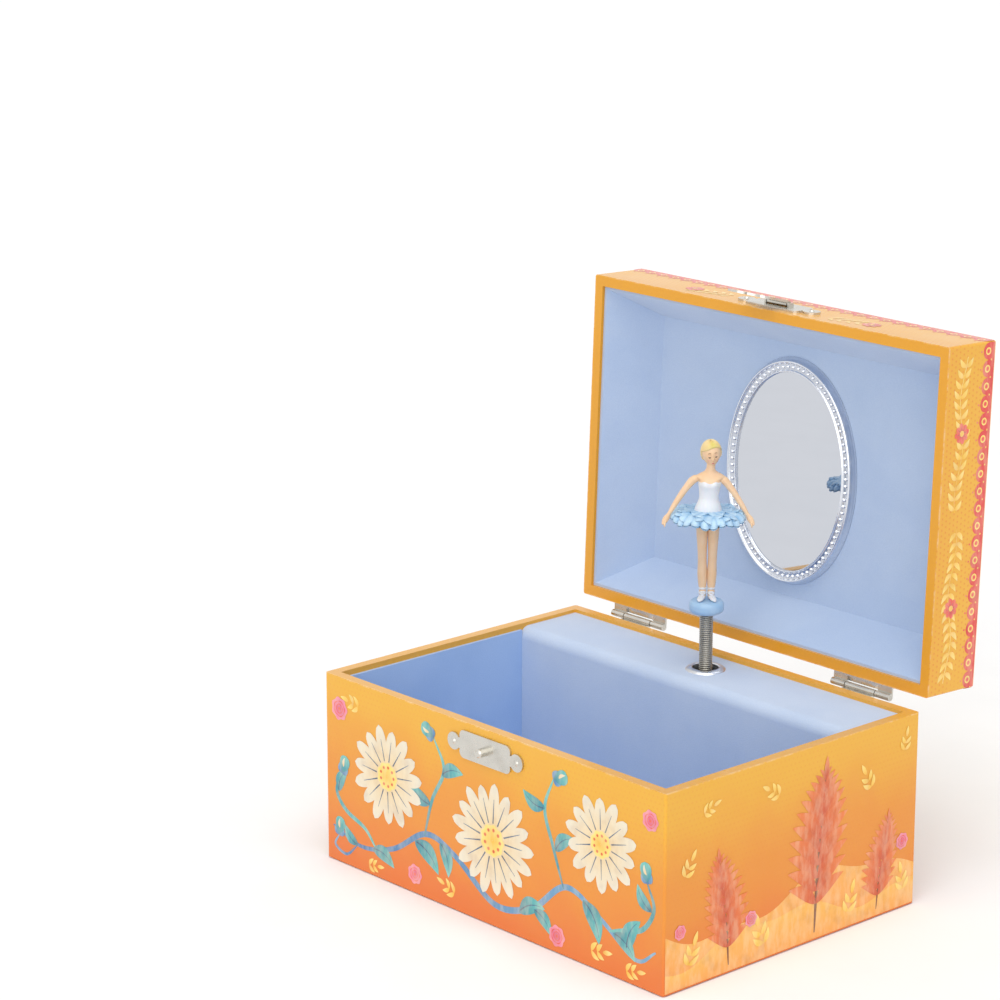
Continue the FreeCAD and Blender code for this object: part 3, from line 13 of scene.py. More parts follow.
import bpy
import numpy as np
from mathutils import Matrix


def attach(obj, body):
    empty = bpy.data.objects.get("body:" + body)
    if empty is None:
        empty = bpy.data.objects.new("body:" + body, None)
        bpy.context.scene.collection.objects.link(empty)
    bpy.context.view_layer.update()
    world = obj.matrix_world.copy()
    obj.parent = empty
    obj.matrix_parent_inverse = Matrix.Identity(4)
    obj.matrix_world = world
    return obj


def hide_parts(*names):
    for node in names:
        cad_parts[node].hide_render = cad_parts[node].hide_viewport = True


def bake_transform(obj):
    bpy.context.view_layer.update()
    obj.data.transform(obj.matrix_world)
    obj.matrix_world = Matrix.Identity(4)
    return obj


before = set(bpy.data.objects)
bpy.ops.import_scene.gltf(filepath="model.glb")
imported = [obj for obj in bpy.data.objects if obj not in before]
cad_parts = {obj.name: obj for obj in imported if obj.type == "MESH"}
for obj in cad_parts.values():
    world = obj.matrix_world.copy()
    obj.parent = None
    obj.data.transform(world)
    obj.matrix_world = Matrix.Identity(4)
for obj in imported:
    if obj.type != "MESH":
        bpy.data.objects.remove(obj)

log = logging.getLogger("jewellery_box")
Array = np.ndarray
Colour = tuple[float, float, float]
Socket = bpy.types.NodeSocket
Knots = Sequence[Sequence[float]]
MM = 0.001
TAU = 2.0 * math.pi

# Half the width, in mm, that a printed outline keeps at its tips.
LEAST = 0.02
# Keeps a printed motif to the start of its dye.
UNGRADED = np.zeros((1, 1))
# The paper's varnish, which the print shares.
SATIN = {"Specular_IOR_Level": 0.2, "Coat_Weight": 0.7, "Coat_Roughness": 0.2}


def tone(red: int, green: int, blue: int) -> Colour:
    """Turns a screen colour of 0 to 255 into linear light by the standard curve.

    Args:
        red: red share.
        green: green share.
        blue: blue share.

    Returns:
        The colour in linear light.
    """
    share = np.array((red, green, blue)) / 255.0
    bent = np.where(share <= 0.04045, share / 12.92, ((share + 0.055) / 1.055) ** 2.4)
    return float(bent[0]), float(bent[1]), float(bent[2])


def spread(*parts: Array | float) -> Array:
    """Stacks coordinates, each spread over the others' axes, into points."""
    return np.stack(np.broadcast_arrays(*parts), -1)


def angles(count: int) -> Array:
    """Even angles once round, in radians, without the last."""
    return np.linspace(0, TAU, count, endpoint=False)


def heading(turn: float) -> Array:
    """Flat unit vector at an angle in degrees from +X."""
    return np.array((math.cos(math.radians(turn)), math.sin(math.radians(turn))))


def ball(around: int, up: int, pole: float) -> Sequence[Array]:
    """Angles of a ball's grid: from half a turn left to half a turn right, and from one pole to the other."""
    return np.broadcast_arrays(angles(around)[None] - math.pi, np.linspace(-pole, pole, up)[:, None])


def hump(value: Array, middle: Array | float, width: float) -> Array:
    """Bell of height 1: exp(-t^2) of the distance from the middle in widths."""
    return np.exp(-(((value - middle) / width) ** 2))


def tint(start: Any, end: Any, share: Array) -> Array:
    """Colour between two: start + (end - start) share."""
    first = np.asarray(start, float)
    return first + (np.asarray(end, float) - first) * np.asarray(share)[..., None]


def thicken(form: Array, grow: Array) -> Array:
    """Moves points straight out from the origin, each by its own distance."""
    return form * (1 + grow[..., None] / np.linalg.norm(form, axis=-1, keepdims=True))


def through(knots: Knots, at: Array) -> Array:
    """Smooth curve through knots: cubic pieces whose slopes at each knot are the mean of the two beside it.

    Args:
        knots: rows of a rising parameter followed by the values there.
        at: parameters to read the curve at.

    Returns:
        The values, with one more axis than `at`.
    """
    table = np.asarray(knots, float)
    x, y = table[:, 0], table[:, 1:]
    slope = np.gradient(y, x, axis=0)
    at = np.asarray(at, float)
    spot = np.clip(np.searchsorted(x, at, side="right") - 1, 0, len(x) - 2)
    step = (x[spot + 1] - x[spot])[..., None]
    t = (at - x[spot])[..., None] / step
    start = (2 * t**3 - 3 * t**2 + 1) * y[spot] + (t**3 - 2 * t**2 + t) * step * slope[spot]
    end = (3 * t**2 - 2 * t**3) * y[spot + 1] + (t**3 - t**2) * step * slope[spot + 1]
    return start + end


def ease(value: Array, low: float, high: float) -> Array:
    """Smooth step from 0 at `low` to 1 at `high`: 3t^2 - 2t^3 of the clipped share."""
    t = np.clip((value - low) / (high - low), 0.0, 1.0)
    return t * t * (3 - 2 * t)


def tube(path: Array, radii: Array, sides: int, hint: Sequence[float]) -> Array:
    """Oval profile carried along a path: path + r1 cos(a) side + r2 sin(a) up, side square to the path.

    Args:
        path: points of the middle line, (n, 3).
        radii: two radii at each point, (n, 2).
        sides: points round the profile.
        hint: direction that the first radius keeps to.

    Returns:
        Grid of (n, sides, 3) points.
    """
    along = np.gradient(path, axis=0)
    along /= np.linalg.norm(along, axis=1, keepdims=True)
    side = np.asarray(hint, float) - along * (along @ np.asarray(hint, float))[:, None]
    side /= np.linalg.norm(side, axis=1, keepdims=True)
    up = np.cross(along, side)
    angle = angles(sides)
    wide = (side * radii[:, :1])[:, None] * np.cos(angle)[:, None]
    tall = (up * radii[:, 1:])[:, None] * np.sin(angle)[:, None]
    return path[:, None] + wide + tall


class Shell:
    """Gathers the patches of one piece, each a grid of points, and makes them one mesh."""

    def __init__(self, name: str) -> None:
        """Starts an empty piece.

        Args:
            name: its name.
        """
        self.name = name
        self.points: list[Array] = []
        self.inks: list[Array] = []
        self.quads: list[Array] = []
        self.tris: list[Array] = []
        self.count = 0

    def patch(self, grid: Array, ink: Any = (1, 1, 1), round_u: bool = False, round_v: bool = False,
              ends: bool = False, facing: Sequence[float] | None = None) -> None:
        """Adds a grid of points as quads, closed and turned outwards.

        Args:
            grid: points in mm, (rows, columns, 3).
            ink: one colour, or one at each point.
            round_u: the last row joins the first.
            round_v: the last column joins the first.
            ends: the first and last rows close to their middles.
            facing: direction that an open sheet faces; a closed patch turns by its own volume.
        """
        rows, columns = grid.shape[:2]
        flat = grid.reshape(-1, 3)
        colour = np.broadcast_to(np.asarray(ink, float), (rows, columns, 3)).reshape(-1, 3)
        number = np.arange(rows * columns).reshape(rows, columns)
        down = np.roll(number, -1, 0) if round_u else number[1:]
        here = number if round_u else number[:-1]
        across = np.roll(here, -1, 1) if round_v else here[:, 1:]
        below = np.roll(down, -1, 1) if round_v else down[:, 1:]
        if not round_v:
            here, down = here[:, :-1], down[:, :-1]
        quads = np.stack((here, across, below, down), -1).reshape(-1, 4)
        tris = np.zeros((0, 3), int)
        if ends:
            poles = np.stack((grid[0].mean(0), grid[-1].mean(0)))
            flat = np.vstack((flat, poles))
            colour = np.vstack((colour, colour[:1], colour[-1:]))
            first, last = number[0], number[-1]
            pole = rows * columns
            fan_a = np.stack((np.full(columns, pole), np.roll(first, -1), first), -1)
            fan_b = np.stack((np.full(columns, pole + 1), last, np.roll(last, -1)), -1)
            tris = np.vstack((fan_a, fan_b))
        a, b, c, d = (flat[quads[:, k]] for k in range(4))
        if facing is None:
            middle = flat.mean(0)
            volume = np.einsum("ij,ij->", a - middle, np.cross(b - middle, c - middle))
            volume += np.einsum("ij,ij->", a - middle, np.cross(c - middle, d - middle))
            inward = volume < 0
        else:
            inward = (np.cross(c - a, d - b).sum(0) @ np.asarray(facing, float)) < 0
        if inward:
            quads, tris = quads[:, ::-1], tris[:, ::-1]
        self.points.append(flat)
        self.inks.append(colour)
        self.quads.append(quads + self.count)
        self.tris.append(tris + self.count)
        self.count += len(flat)

    def mesh(self) -> bpy.types.Mesh:
        """Makes the mesh in metres, smooth, with the ink as a colour at each point.

        Returns:
            The mesh.
        """
        points = np.vstack(self.points) * MM
        quads, tris = np.vstack(self.quads), np.vstack(self.tris)
        corners = np.concatenate((quads.ravel(), tris.ravel()))
        starts = np.concatenate((np.arange(len(quads)) * 4, len(quads) * 4 + np.arange(len(tris)) * 3))
        made = bpy.data.meshes.new(self.name)
        made.vertices.add(len(points))
        made.vertices.foreach_set("co", points.astype(np.float32).ravel())
        made.loops.add(len(corners))
        made.loops.foreach_set("vertex_index", corners.astype(np.int32))
        made.polygons.add(len(starts))
        made.polygons.foreach_set("loop_start", starts.astype(np.int32))
        made.update(calc_edges=True)
        made.validate()
        made.shade_smooth()
        inks = np.column_stack((np.vstack(self.inks), np.ones(len(points))))
        paint = made.color_attributes.new("ink", "FLOAT_COLOR", "POINT")
        paint.data.foreach_set("color", inks.astype(np.float32).ravel())
        return made

    def piece(self, finish: "Finish") -> bpy.types.Object:
        """Makes the object and dresses it; it still has to ride on a body.

        Args:
            finish: what covers it.

        Returns:
            The object.
        """
        made = bpy.data.objects.new(self.name, self.mesh())
        bpy.context.scene.collection.objects.link(made)
        made.data.materials.append(finish.material())
        log.info("%s: %d points", self.name, self.count)
        return made

    def ride(self, body: str, finish: "Finish", slot: str, *stands_for: str) -> bpy.types.Object:
        """Makes the piece, rides it on a body and lets it stand for solids.

        Args:
            body: the body that carries it.
            finish: what covers it.
            slot: a material slot's name; not used.
            stands_for: nodes that it replaces.

        Returns:
            The object.
        """
        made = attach(self.piece(finish), body)
        if stands_for:
            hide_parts(*stands_for)
        return made


class FinishNodes:
    """Lays out the shader nodes of one finish around a principled surface."""

    def __init__(self, name: str) -> None:
        """Starts a material with its surface joined to the output.

        Args:
            name: the material's name.
        """
        self.made = bpy.data.materials.new(name)
        self.made.use_nodes = True
        self.tree = self.made.node_tree
        self.tree.nodes.clear()
        self.surface = self.add("ShaderNodeBsdfPrincipled")
        end = self.add("ShaderNodeOutputMaterial")
        self.tree.links.new(self.surface.outputs[0], end.inputs["Surface"])

    def add(self, kind: str, **settings: Any) -> bpy.types.Node:
        """Adds a node with its settings.

        Args:
            kind: the node's type.
            settings: its properties.

        Returns:
            The node.
        """
        node = self.tree.nodes.new(kind)
        for key, value in settings.items():
            setattr(node, key, value)
        return node

    def feed(self, socket: Socket, value: Any) -> None:
        """Joins a socket to another, or sets its number or colour.

        Args:
            socket: the input.
            value: an output socket, a number or a colour.
        """
        if isinstance(value, Socket):
            self.tree.links.new(value, socket)
        elif isinstance(value, tuple) and len(value) == 3 and len(socket.default_value) == 4:
            socket.default_value = (*value, 1.0)
        else:
            socket.default_value = value

    def set(self, **sockets: Any) -> None:
        """Sets sockets of the surface; underscores in a name stand for spaces."""
        for name, value in sockets.items():
            self.feed(self.surface.inputs[name.replace("_", " ")], value)

    def place(self, turn: float = 0.0, shift: Sequence[float] = (0, 0, 0),
              stretch: Sequence[float] = (1, 1, 1)) -> Socket:
        """Object coordinates in metres, stretched, turned about X and shifted.

        Args:
            turn: turn about X in degrees.
            shift: shift in metres.
            stretch: factors along the axes.

        Returns:
            The vector.
        """
        where = self.add("ShaderNodeTexCoord").outputs["Object"]
        mapping = self.add("ShaderNodeMapping")
        self.feed(mapping.inputs["Vector"], where)
        mapping.inputs["Rotation"].default_value = (math.radians(turn), 0, 0)
        mapping.inputs["Location"].default_value = tuple(shift)
        mapping.inputs["Scale"].default_value = tuple(stretch)
        return mapping.outputs["Vector"]

    def split(self, vector: Socket) -> list[Socket]:
        """The three coordinates of a vector, in millimetres.

        Args:
            vector: a vector in metres.

        Returns:
            The coordinates.
        """
        node = self.add("ShaderNodeSeparateXYZ")
        self.feed(node.inputs[0], vector)
        return [self.sum("DIVIDE", part, MM) for part in node.outputs]

    def sum(self, how: str, *values: Any) -> Socket:
        """A sum of one, two or three values.

        Args:
            how: the operation.
            values: sockets or numbers.

        Returns:
            The result.
        """
        node = self.add("ShaderNodeMath", operation=how)
        for socket, value in zip(node.inputs, values):
            self.feed(socket, value)
        return node.outputs[0]

    def span(self, value: Any, low: float, high: float, to_low: float = 0.0,
             to_high: float = 1.0) -> Socket:
        """Smooth step of a value from one range to another.

        Args:
            value: what is measured.
            low: start of the step.
            high: end of the step.
            to_low: result at the start.
            to_high: result at the end.

        Returns:
            The step.
        """
        node = self.add("ShaderNodeMapRange", interpolation_type="SMOOTHSTEP")
        for socket, entry in zip(node.inputs, (value, low, high, to_low, to_high)):
            self.feed(socket, entry)
        return node.outputs[0]

    def noise(self, at: Socket, scale: float, detail: float = 2.0,
              rough: float = 0.5) -> Socket:
        """Cloudy noise from 0 to 1.

        Args:
            at: where it is read.
            scale: clouds to the metre.
            detail: layers of finer clouds.
            rough: weight of the finer layers.

        Returns:
            The noise.
        """
        node = self.add("ShaderNodeTexNoise")
        for name, value in (("Vector", at), ("Scale", scale), ("Detail", detail), ("Roughness", rough)):
            self.feed(node.inputs[name], value)
        return node.outputs["Fac"]

    def cells(self, at: Socket, scale: float) -> Socket:
        """Distance to the nearest of scattered points.

        Args:
            at: where it is read.
            scale: points to the metre.

        Returns:
            The distance.
        """
        node = self.add("ShaderNodeTexVoronoi")
        self.feed(node.inputs["Vector"], at)
        self.feed(node.inputs["Scale"], scale)
        return node.outputs["Distance"]

    def painted(self) -> Socket:
        """The colour painted at each point of the mesh."""
        return self.add("ShaderNodeAttribute", attribute_name="ink").outputs["Color"]

    def mix(self, share: Any, first: Any, second: Any, how: str = "MIX") -> Socket:
        """Mixes two colours.

        Args:
            share: share of the second.
            first: first colour.
            second: second colour.
            how: blend type.

        Returns:
            The colour.
        """
        node = self.add("ShaderNodeMix", data_type="RGBA", blend_type=how)
        self.feed(node.inputs[0], share)
        self.feed(node.inputs[6], first)
        self.feed(node.inputs[7], second)
        return node.outputs[2]

    def grade(self, value: Socket, stops: Sequence[tuple[float, Colour]]) -> Socket:
        """Colours graded along a value from 0 to 1.

        Args:
            value: place along the grade.
            stops: places and colours.

        Returns:
            The colour.
        """
        node = self.add("ShaderNodeValToRGB")
        node.color_ramp.interpolation = "EASE"
        while len(node.color_ramp.elements) < len(stops):
            node.color_ramp.elements.new(0.5)
        for element, (spot, colour) in zip(node.color_ramp.elements, stops):
            element.position = spot
            element.color = (*colour, 1.0)
        self.feed(node.inputs[0], value)
        return node.outputs[0]

    def bump(self, height: Socket, depth: float, strength: float = 1.0) -> None:
        """Raises the surface by a height of 0 to 1 times a depth in metres.

        Args:
            height: the relief.
            depth: its depth.
            strength: how much of it shows.
        """
        node = self.add("ShaderNodeBump")
        node.inputs["Strength"].default_value = strength
        node.inputs["Distance"].default_value = depth
        self.feed(node.inputs["Height"], height)
        self.feed(self.surface.inputs["Normal"], node.outputs[0])


@dataclass(frozen=True)
class Finish:
    """Something that covers a surface; each makes its material once."""

    name: str
    made: ClassVar[dict[str, bpy.types.Material]] = {}

    def lay(self, nodes: FinishNodes) -> None:
        """Lays the nodes of the surface; each kind of finish has its own way."""
        raise NotImplementedError

    def material(self) -> bpy.types.Material:
        """Makes the material on first use.

        Returns:
            The material.
        """
        if self.name not in Finish.made:
            nodes = FinishNodes(self.name)
            self.lay(nodes)
            Finish.made[self.name] = nodes.made
        return Finish.made[self.name]


@dataclass(frozen=True)
class PrintedPaper(Finish):
    """Satin printed paper on a case: graded colour, faint dots, a plain rim and pale edges, partly rubbed
    paper and partly a painted highlight.
    """

    low: float
    high: float
    stops: tuple[tuple[float, Colour], ...]
    rim: Colour
    rim_level: float
    turn: float = 0.0
    shift: tuple[float, float, float] = (0.0, 0.0, 0.0)
    top: tuple[Colour, Colour] | None = None
    half_w: float = 82.5
    half_d: float = 59.0
    dot_step: float = 1.9
    dots: float = 0.16
    dot: Colour = tone(226, 120, 40)
    fleck: Colour = tone(205, 130, 34)
    # Pale edge colour and its strength: partly rubbed paper, partly a painted highlight along the edges.
    rubbed_and_highlit: Colour = tone(250, 232, 196)
    rub_and_highlight: float = 0.32

    def dotted(self, nodes: FinishNodes, x: Socket, y: Socket, z: Socket, cloud: Socket) -> Socket:
        """Share of the dots' ink: rows of dots, each half a step on from the last, fading with the cloud.

        Args:
            nodes: the material's nodes.
            x: place along the case.
            y: place across it.
            z: height.
            cloud: noise that fades the dots.

        Returns:
            The share.
        """
        row = nodes.sum("DIVIDE", z, self.dot_step)
        column = nodes.sum("DIVIDE", nodes.sum("ADD", x, y), self.dot_step)
        column = nodes.sum("ADD", column, nodes.sum("MULTIPLY", nodes.sum("FLOOR", row), 0.5))
        offs = (nodes.sum("SUBTRACT", nodes.sum("FRACT", spot), 0.5) for spot in (column, row))
        away = nodes.sum("SQRT", nodes.sum("ADD", *(nodes.sum("POWER", off, 2.0) for off in offs)))
        fade = nodes.span(cloud, 0.35, 0.6, self.dots * 0.3, self.dots)
        return nodes.sum("MULTIPLY", nodes.span(away, 0.16, 0.24, 1.0, 0.0), fade)

    def lay(self, nodes: FinishNodes) -> None:
        """Grades the walls by height, dots them, paints the rim plain and paints the edges pale, as rubbing
        and as a painted highlight.

        Args:
            nodes: the material's nodes.
        """
        at = nodes.place(self.turn, self.shift)
        x, y, z = nodes.split(at)
        cloud = nodes.noise(at, 45.0, 3.0)
        grain = nodes.noise(at, 900.0, 3.0, 0.6)
        in_x = nodes.sum("SUBTRACT", self.half_w, nodes.sum("ABSOLUTE", x))
        in_y = nodes.sum("SUBTRACT", self.half_d, nodes.sum("ABSOLUTE", y))
        inside = nodes.sum("MINIMUM", in_x, in_y)
        off_wall = nodes.sum("ABSOLUTE", inside)
        off_rim = nodes.sum("ABSOLUTE", nodes.sum("SUBTRACT", z, self.rim_level))
        edge = nodes.sum("MINIMUM", nodes.sum("ADD", in_x, in_y), nodes.sum("ADD", off_wall, off_rim))
        climb = nodes.sum("DIVIDE", nodes.sum("SUBTRACT", z, self.low), self.high - self.low)
        wall = nodes.grade(nodes.sum("ADD", climb, nodes.span(cloud, 0.3, 0.7, -0.06, 0.06)), self.stops)
        wall = nodes.mix(self.dotted(nodes, x, y, z, cloud), wall, self.dot)
        if self.top is not None:
            halves = ((x, self.half_w), (y, self.half_d))
            ways = (nodes.sum("DIVIDE", nodes.sum("ADD", part, half), 4 * half) for part, half in halves)
            across = nodes.sum("ADD", nodes.sum("ADD", *ways), nodes.span(cloud, 0.2, 0.8, -0.2, 0.2))
            face = nodes.mix(across, *self.top)
            wall = nodes.mix(nodes.span(z, self.high - 0.25, self.high - 0.15), wall, face)
            crest = nodes.sum("ADD", nodes.sum("SUBTRACT", self.high, z), off_wall)
            edge = nodes.sum("MINIMUM", edge, crest)
        rim = nodes.mix(nodes.span(grain, 0.3, 0.7, 0.0, 0.12), self.rim, self.fleck)
        near_rim = nodes.span(off_rim, 9.0, 9.2, 1.0, 0.0)
        paint = nodes.mix(nodes.sum("MULTIPLY", nodes.span(inside, 0.25, 0.4), near_rim), wall, rim)
        # Pale edges in patches: partly rubbed paper, partly a painted highlight along the edges.
        scuff = nodes.span(nodes.noise(at, 260.0, 4.0, 0.65), 0.42, 0.66)
        rubbed_and_highlit = nodes.sum("MULTIPLY", nodes.span(edge, 0.1, 0.6, self.rub_and_highlight, 0.0), scuff)
        nodes.set(Base_Color=nodes.mix(rubbed_and_highlit, paint, self.rubbed_and_highlit), **SATIN)
        nodes.set(Roughness=nodes.span(nodes.noise(at, 60.0, 3.0), 0.3, 0.7, 0.40, 0.52))
        nodes.bump(grain, 0.00002, 0.35)


@dataclass(frozen=True)
class Ink(Finish):
    """Printed motifs: the colour painted at each point, with a dry brush's streaks."""

    dry: Colour = tone(255, 240, 205)
    stain: Colour = tone(150, 84, 50)

    def lay(self, nodes: FinishNodes) -> None:
        """Streaks the painted colour with two noises and keeps the paper's satin.

        Args:
            nodes: the material's nodes.
        """
        at = nodes.place()
        streak = nodes.noise(nodes.place(stretch=(1.0, 1.0, 0.35)), 420.0, 4.0, 0.6)
        paint = nodes.mix(nodes.span(streak, 0.35, 0.7, 0.0, 0.22), nodes.painted(), self.dry)
        patch = nodes.span(nodes.noise(at, 170.0, 3.0), 0.45, 0.75, 0.0, 0.16)
        nodes.set(Base_Color=nodes.mix(patch, paint, self.stain, "MULTIPLY"), Roughness=0.45, **SATIN)
        nodes.bump(nodes.noise(at, 900.0, 3.0, 0.6), 0.00002, 0.35)


@dataclass(frozen=True)
class Flock(Finish):
    """Short dense flock on card: fine nap, a soft sheen and brushed patches."""

    colour: Colour
    shade: Colour
    sheen: Colour = tone(244, 246, 250)

    def lay(self, nodes: FinishNodes) -> None:
        """Mottles two close blues by nap and by brushed patches, with a fine bump.

        Args:
            nodes: the material's nodes.
        """
        at = nodes.place()
        nap = nodes.noise(at, 2600.0, 3.0, 0.7)
        brushed = nodes.span(nodes.noise(at, 38.0, 3.0, 0.55), 0.35, 0.65, 0.0, 0.3)
        share = nodes.sum("ADD", nodes.span(nap, 0.3, 0.7, 0.0, 0.45), brushed)
        nodes.set(Base_Color=nodes.mix(share, self.colour, self.shade), Roughness=0.95)
        nodes.set(Specular_IOR_Level=0.08, Sheen_Weight=0.42, Sheen_Roughness=0.5, Sheen_Tint=self.sheen)
        tufts = nodes.sum("MULTIPLY", nodes.cells(at, 3000.0), 0.5)
        nodes.bump(nodes.sum("ADD", nap, tufts), 0.00014, 0.45)


class Working(Enum):
    """How a metal's surface was left: its noise stretch and scale."""

    PLATED = ((1.0, 1.0, 1.0), 220.0)
    DRAWN = ((1.0, 1.0, 6.0), 300.0)
    TURNED = ((5.0, 5.0, 1.0), 420.0)
    CAST = ((1.0, 1.0, 1.0), 900.0)


@dataclass(frozen=True)
class Metal(Finish):
    """Worked metal: its colour, or the one at each point, how rough it is and the marks its working left."""

    colour: Colour | None
    rough: float
    working: Working
    relief: float = 0.00001
    dull: Colour = tone(120, 112, 100)

    def lay(self, nodes: FinishNodes) -> None:
        """Dulls the metal in patches, which on the mirror frame are also a bluish painted reflection of the
        lining, and roughens it along the marks.

        Args:
            nodes: the material's nodes.
        """
        stretch, scale = self.working.value
        marks = nodes.noise(nodes.place(stretch=stretch), scale, 5.0, 0.65)
        patch = nodes.span(nodes.noise(nodes.place(), 90.0, 3.0), 0.45, 0.8, 0.0, 0.35)
        nodes.set(Base_Color=nodes.mix(patch, self.colour or nodes.painted(), self.dull), Metallic=1.0)
        nodes.set(Roughness=nodes.span(marks, 0.3, 0.7, self.rough * 0.75, self.rough * 1.35))
        nodes.bump(marks, self.relief, 0.5)


@dataclass(frozen=True)
class MirrorSilver(Finish):
    """Silvered glass with the faintest smears."""

    silver: Colour = tone(203, 206, 213)
    smeared: Colour = tone(198, 202, 210)

    def lay(self, nodes: FinishNodes) -> None:
        """Keeps the surface polished, with smears in its roughness and tint.

        Args:
            nodes: the material's nodes.
        """
        smear = nodes.noise(nodes.place(), 55.0, 4.0, 0.6)
        paint = nodes.mix(nodes.span(smear, 0.4, 0.8, 0.0, 0.4), self.silver, self.smeared)
        nodes.set(Base_Color=paint, Metallic=1.0, Roughness=nodes.span(smear, 0.4, 0.8, 0.012, 0.04))


@dataclass(frozen=True)
class Moulded(Finish):
    """Moulded plastic, plain or hand painted at each point, with a little glitter where it is asked for."""

    colour: Colour | None
    rough: float
    glitter: float = 0.0
    glow: float = 0.0
    glow_scale: float = 0.0012
    glow_spread: tuple[float, float, float] = (0.9, 0.45, 0.25)
    pale: Colour = tone(255, 252, 246)
    spark: Colour = tone(244, 250, 255)
    spark_rough: float = 0.08

    def lay(self, nodes: FinishNodes) -> None:
        """Clouds the colour a little, and sprinkles bright grains where it is glittered.

        Args:
            nodes: the material's nodes.
        """
        at = nodes.place()
        cloud = nodes.span(nodes.noise(at, 260.0, 3.0), 0.3, 0.7, 0.0, 0.10)
        paint = nodes.mix(cloud, self.colour or nodes.painted(), self.pale)
        if self.glitter:
            grain = nodes.span(nodes.cells(at, 2600.0), 0.10, 0.2, self.glitter, 0.0)
            paint = nodes.mix(grain, paint, self.spark)
            rough = nodes.mix(grain, (self.rough,) * 3, (self.spark_rough,) * 3)
        else:
            rough = nodes.span(nodes.noise(at, 700.0, 3.0), 0.3, 0.7, self.rough * 0.85, self.rough * 1.2)
        nodes.set(Base_Color=paint, Roughness=rough, Specular_IOR_Level=0.45)
        if self.glow:
            nodes.set(Subsurface_Weight=self.glow, Subsurface_Scale=self.glow_scale)
            nodes.set(Subsurface_Radius=self.glow_spread)
        nodes.bump(nodes.noise(at, 1500.0, 3.0), 0.00003, 0.3)


@dataclass(frozen=True)
class Fibreboard(Finish):
    """Raw pressed board or plain paper: flecked fibres on a dull ground."""

    colour: Colour
    fleck: Colour

    def lay(self, nodes: FinishNodes) -> None:
        """Flecks the ground with fine fibres.

        Args:
            nodes: the material's nodes.
        """
        fibre = nodes.noise(nodes.place(stretch=(1.0, 2.5, 1.0)), 600.0, 5.0, 0.7)
        paint = nodes.mix(nodes.span(fibre, 0.4, 0.7, 0.0, 0.7), self.colour, self.fleck)
        nodes.set(Base_Color=paint, Roughness=0.9)
        nodes.bump(fibre, 0.00006, 0.5)


NICKEL = Metal("nickel_plate", tone(210, 207, 199), 0.26, Working.PLATED)
CHROME = Metal("eyelet_chrome", tone(224, 226, 230), 0.32, Working.PLATED)
# The frame's patch colour is bluish grey: partly dulled plating, partly a painted reflection of the blue
# lining.
FRAME_SILVER = Metal("frame_silver", None, 0.2, Working.PLATED, 0.000004, tone(196, 202, 214))
ZINC = Metal("cast_zinc", tone(176, 176, 174), 0.42, Working.CAST, 0.00005)
STEEL = Metal("ground_steel", tone(170, 170, 168), 0.30, Working.DRAWN)
SPRING_STEEL = Metal("spring_steel", tone(176, 172, 162), 0.30, Working.PLATED)
BRASS = Metal("turned_brass", tone(222, 184, 104), 0.24, Working.TURNED)
MIRROR = MirrorSilver("mirror_silver")
INK = Ink("print_ink")
# The tray, the deck and the lid are lined with one flock. Its copies differ as painted light: the deck's copy
# is paler for the light from above and the grazing sheen, and the lid's copy is greyer and lightened against
# the shade inside the lid.
TRAY_FLOCK = Flock("tray_flock", tone(176, 202, 238), tone(152, 184, 228))
DECK_FLOCK_PAINTED_LIGHT = Flock("deck_flock_painted_light", tone(200, 212, 230), tone(181, 198, 224))
LID_FLOCK_PAINTED_LIGHT = Flock("lid_flock_painted_light", tone(186, 202, 226), tone(168, 188, 219))
DISC_BLUE = Moulded("disc_blue", tone(160, 196, 228), 0.34)
FIGURE_PAINT = Moulded("figure_paint", None, 0.42, glow=0.10)
TUTU_BLUE = Moulded("tutu_blue", None, 0.38, glitter=0.55)
FAN_PLASTIC = Moulded("fan_plastic", tone(52, 52, 56), 0.45)
BOARD = Fibreboard("case_board", tone(186, 152, 110), tone(140, 108, 74))
UNDER_PAPER = Fibreboard("under_paper", tone(222, 208, 176), tone(196, 178, 142))


@dataclass(frozen=True)
class Hinge:
    """The lid's pin and the angle that it stands open at."""

    y: float = 62.6
    z: float = 67.55
    angle: float = 92.4

    def swing(self, points: Array) -> Array:
        """Turns points drawn with the lid shut back about the pin by the open angle.

        Args:
            points: points in mm, any shape ending in 3.

        Returns:
            The points with the lid open.
        """
        turn = math.radians(-self.angle)
        y, z = points[..., 1] - self.y, points[..., 2] - self.z
        back = self.y + y * math.cos(turn) - z * math.sin(turn)
        up = self.z + y * math.sin(turn) + z * math.cos(turn)
        return np.stack((points[..., 0], back, up), -1)

    def shut_shift(self) -> tuple[float, float, float]:
        """Shift in metres that, after a turn by the open angle, puts coordinates back where the lid is shut.

        Returns:
            The shift.
        """
        turn = math.radians(self.angle)
        y = self.y - (self.y * math.cos(turn) - self.z * math.sin(turn))
        z = self.z - (self.y * math.sin(turn) + self.z * math.cos(turn))
        return 0.0, y * MM, z * MM


HINGE = Hinge()
BASE_PAPER = PrintedPaper(
    "base_print", low=0.4, high=67.4, rim=tone(231, 170, 62), rim_level=67.4,
    stops=((0.0, tone(228, 118, 44)), (0.45, tone(231, 145, 44)), (1.0, tone(236, 176, 50))))
LID_PAPER = PrintedPaper(
    "lid_print", low=67.7, high=90.7, rim=tone(230, 160, 28), rim_level=67.7,
    stops=((0.0, tone(234, 170, 48)), (0.6, tone(237, 176, 54)), (1.0, tone(239, 180, 60))),
    turn=HINGE.angle, shift=HINGE.shut_shift(), top=(tone(251, 208, 104), tone(250, 226, 176)), dots=0.5)


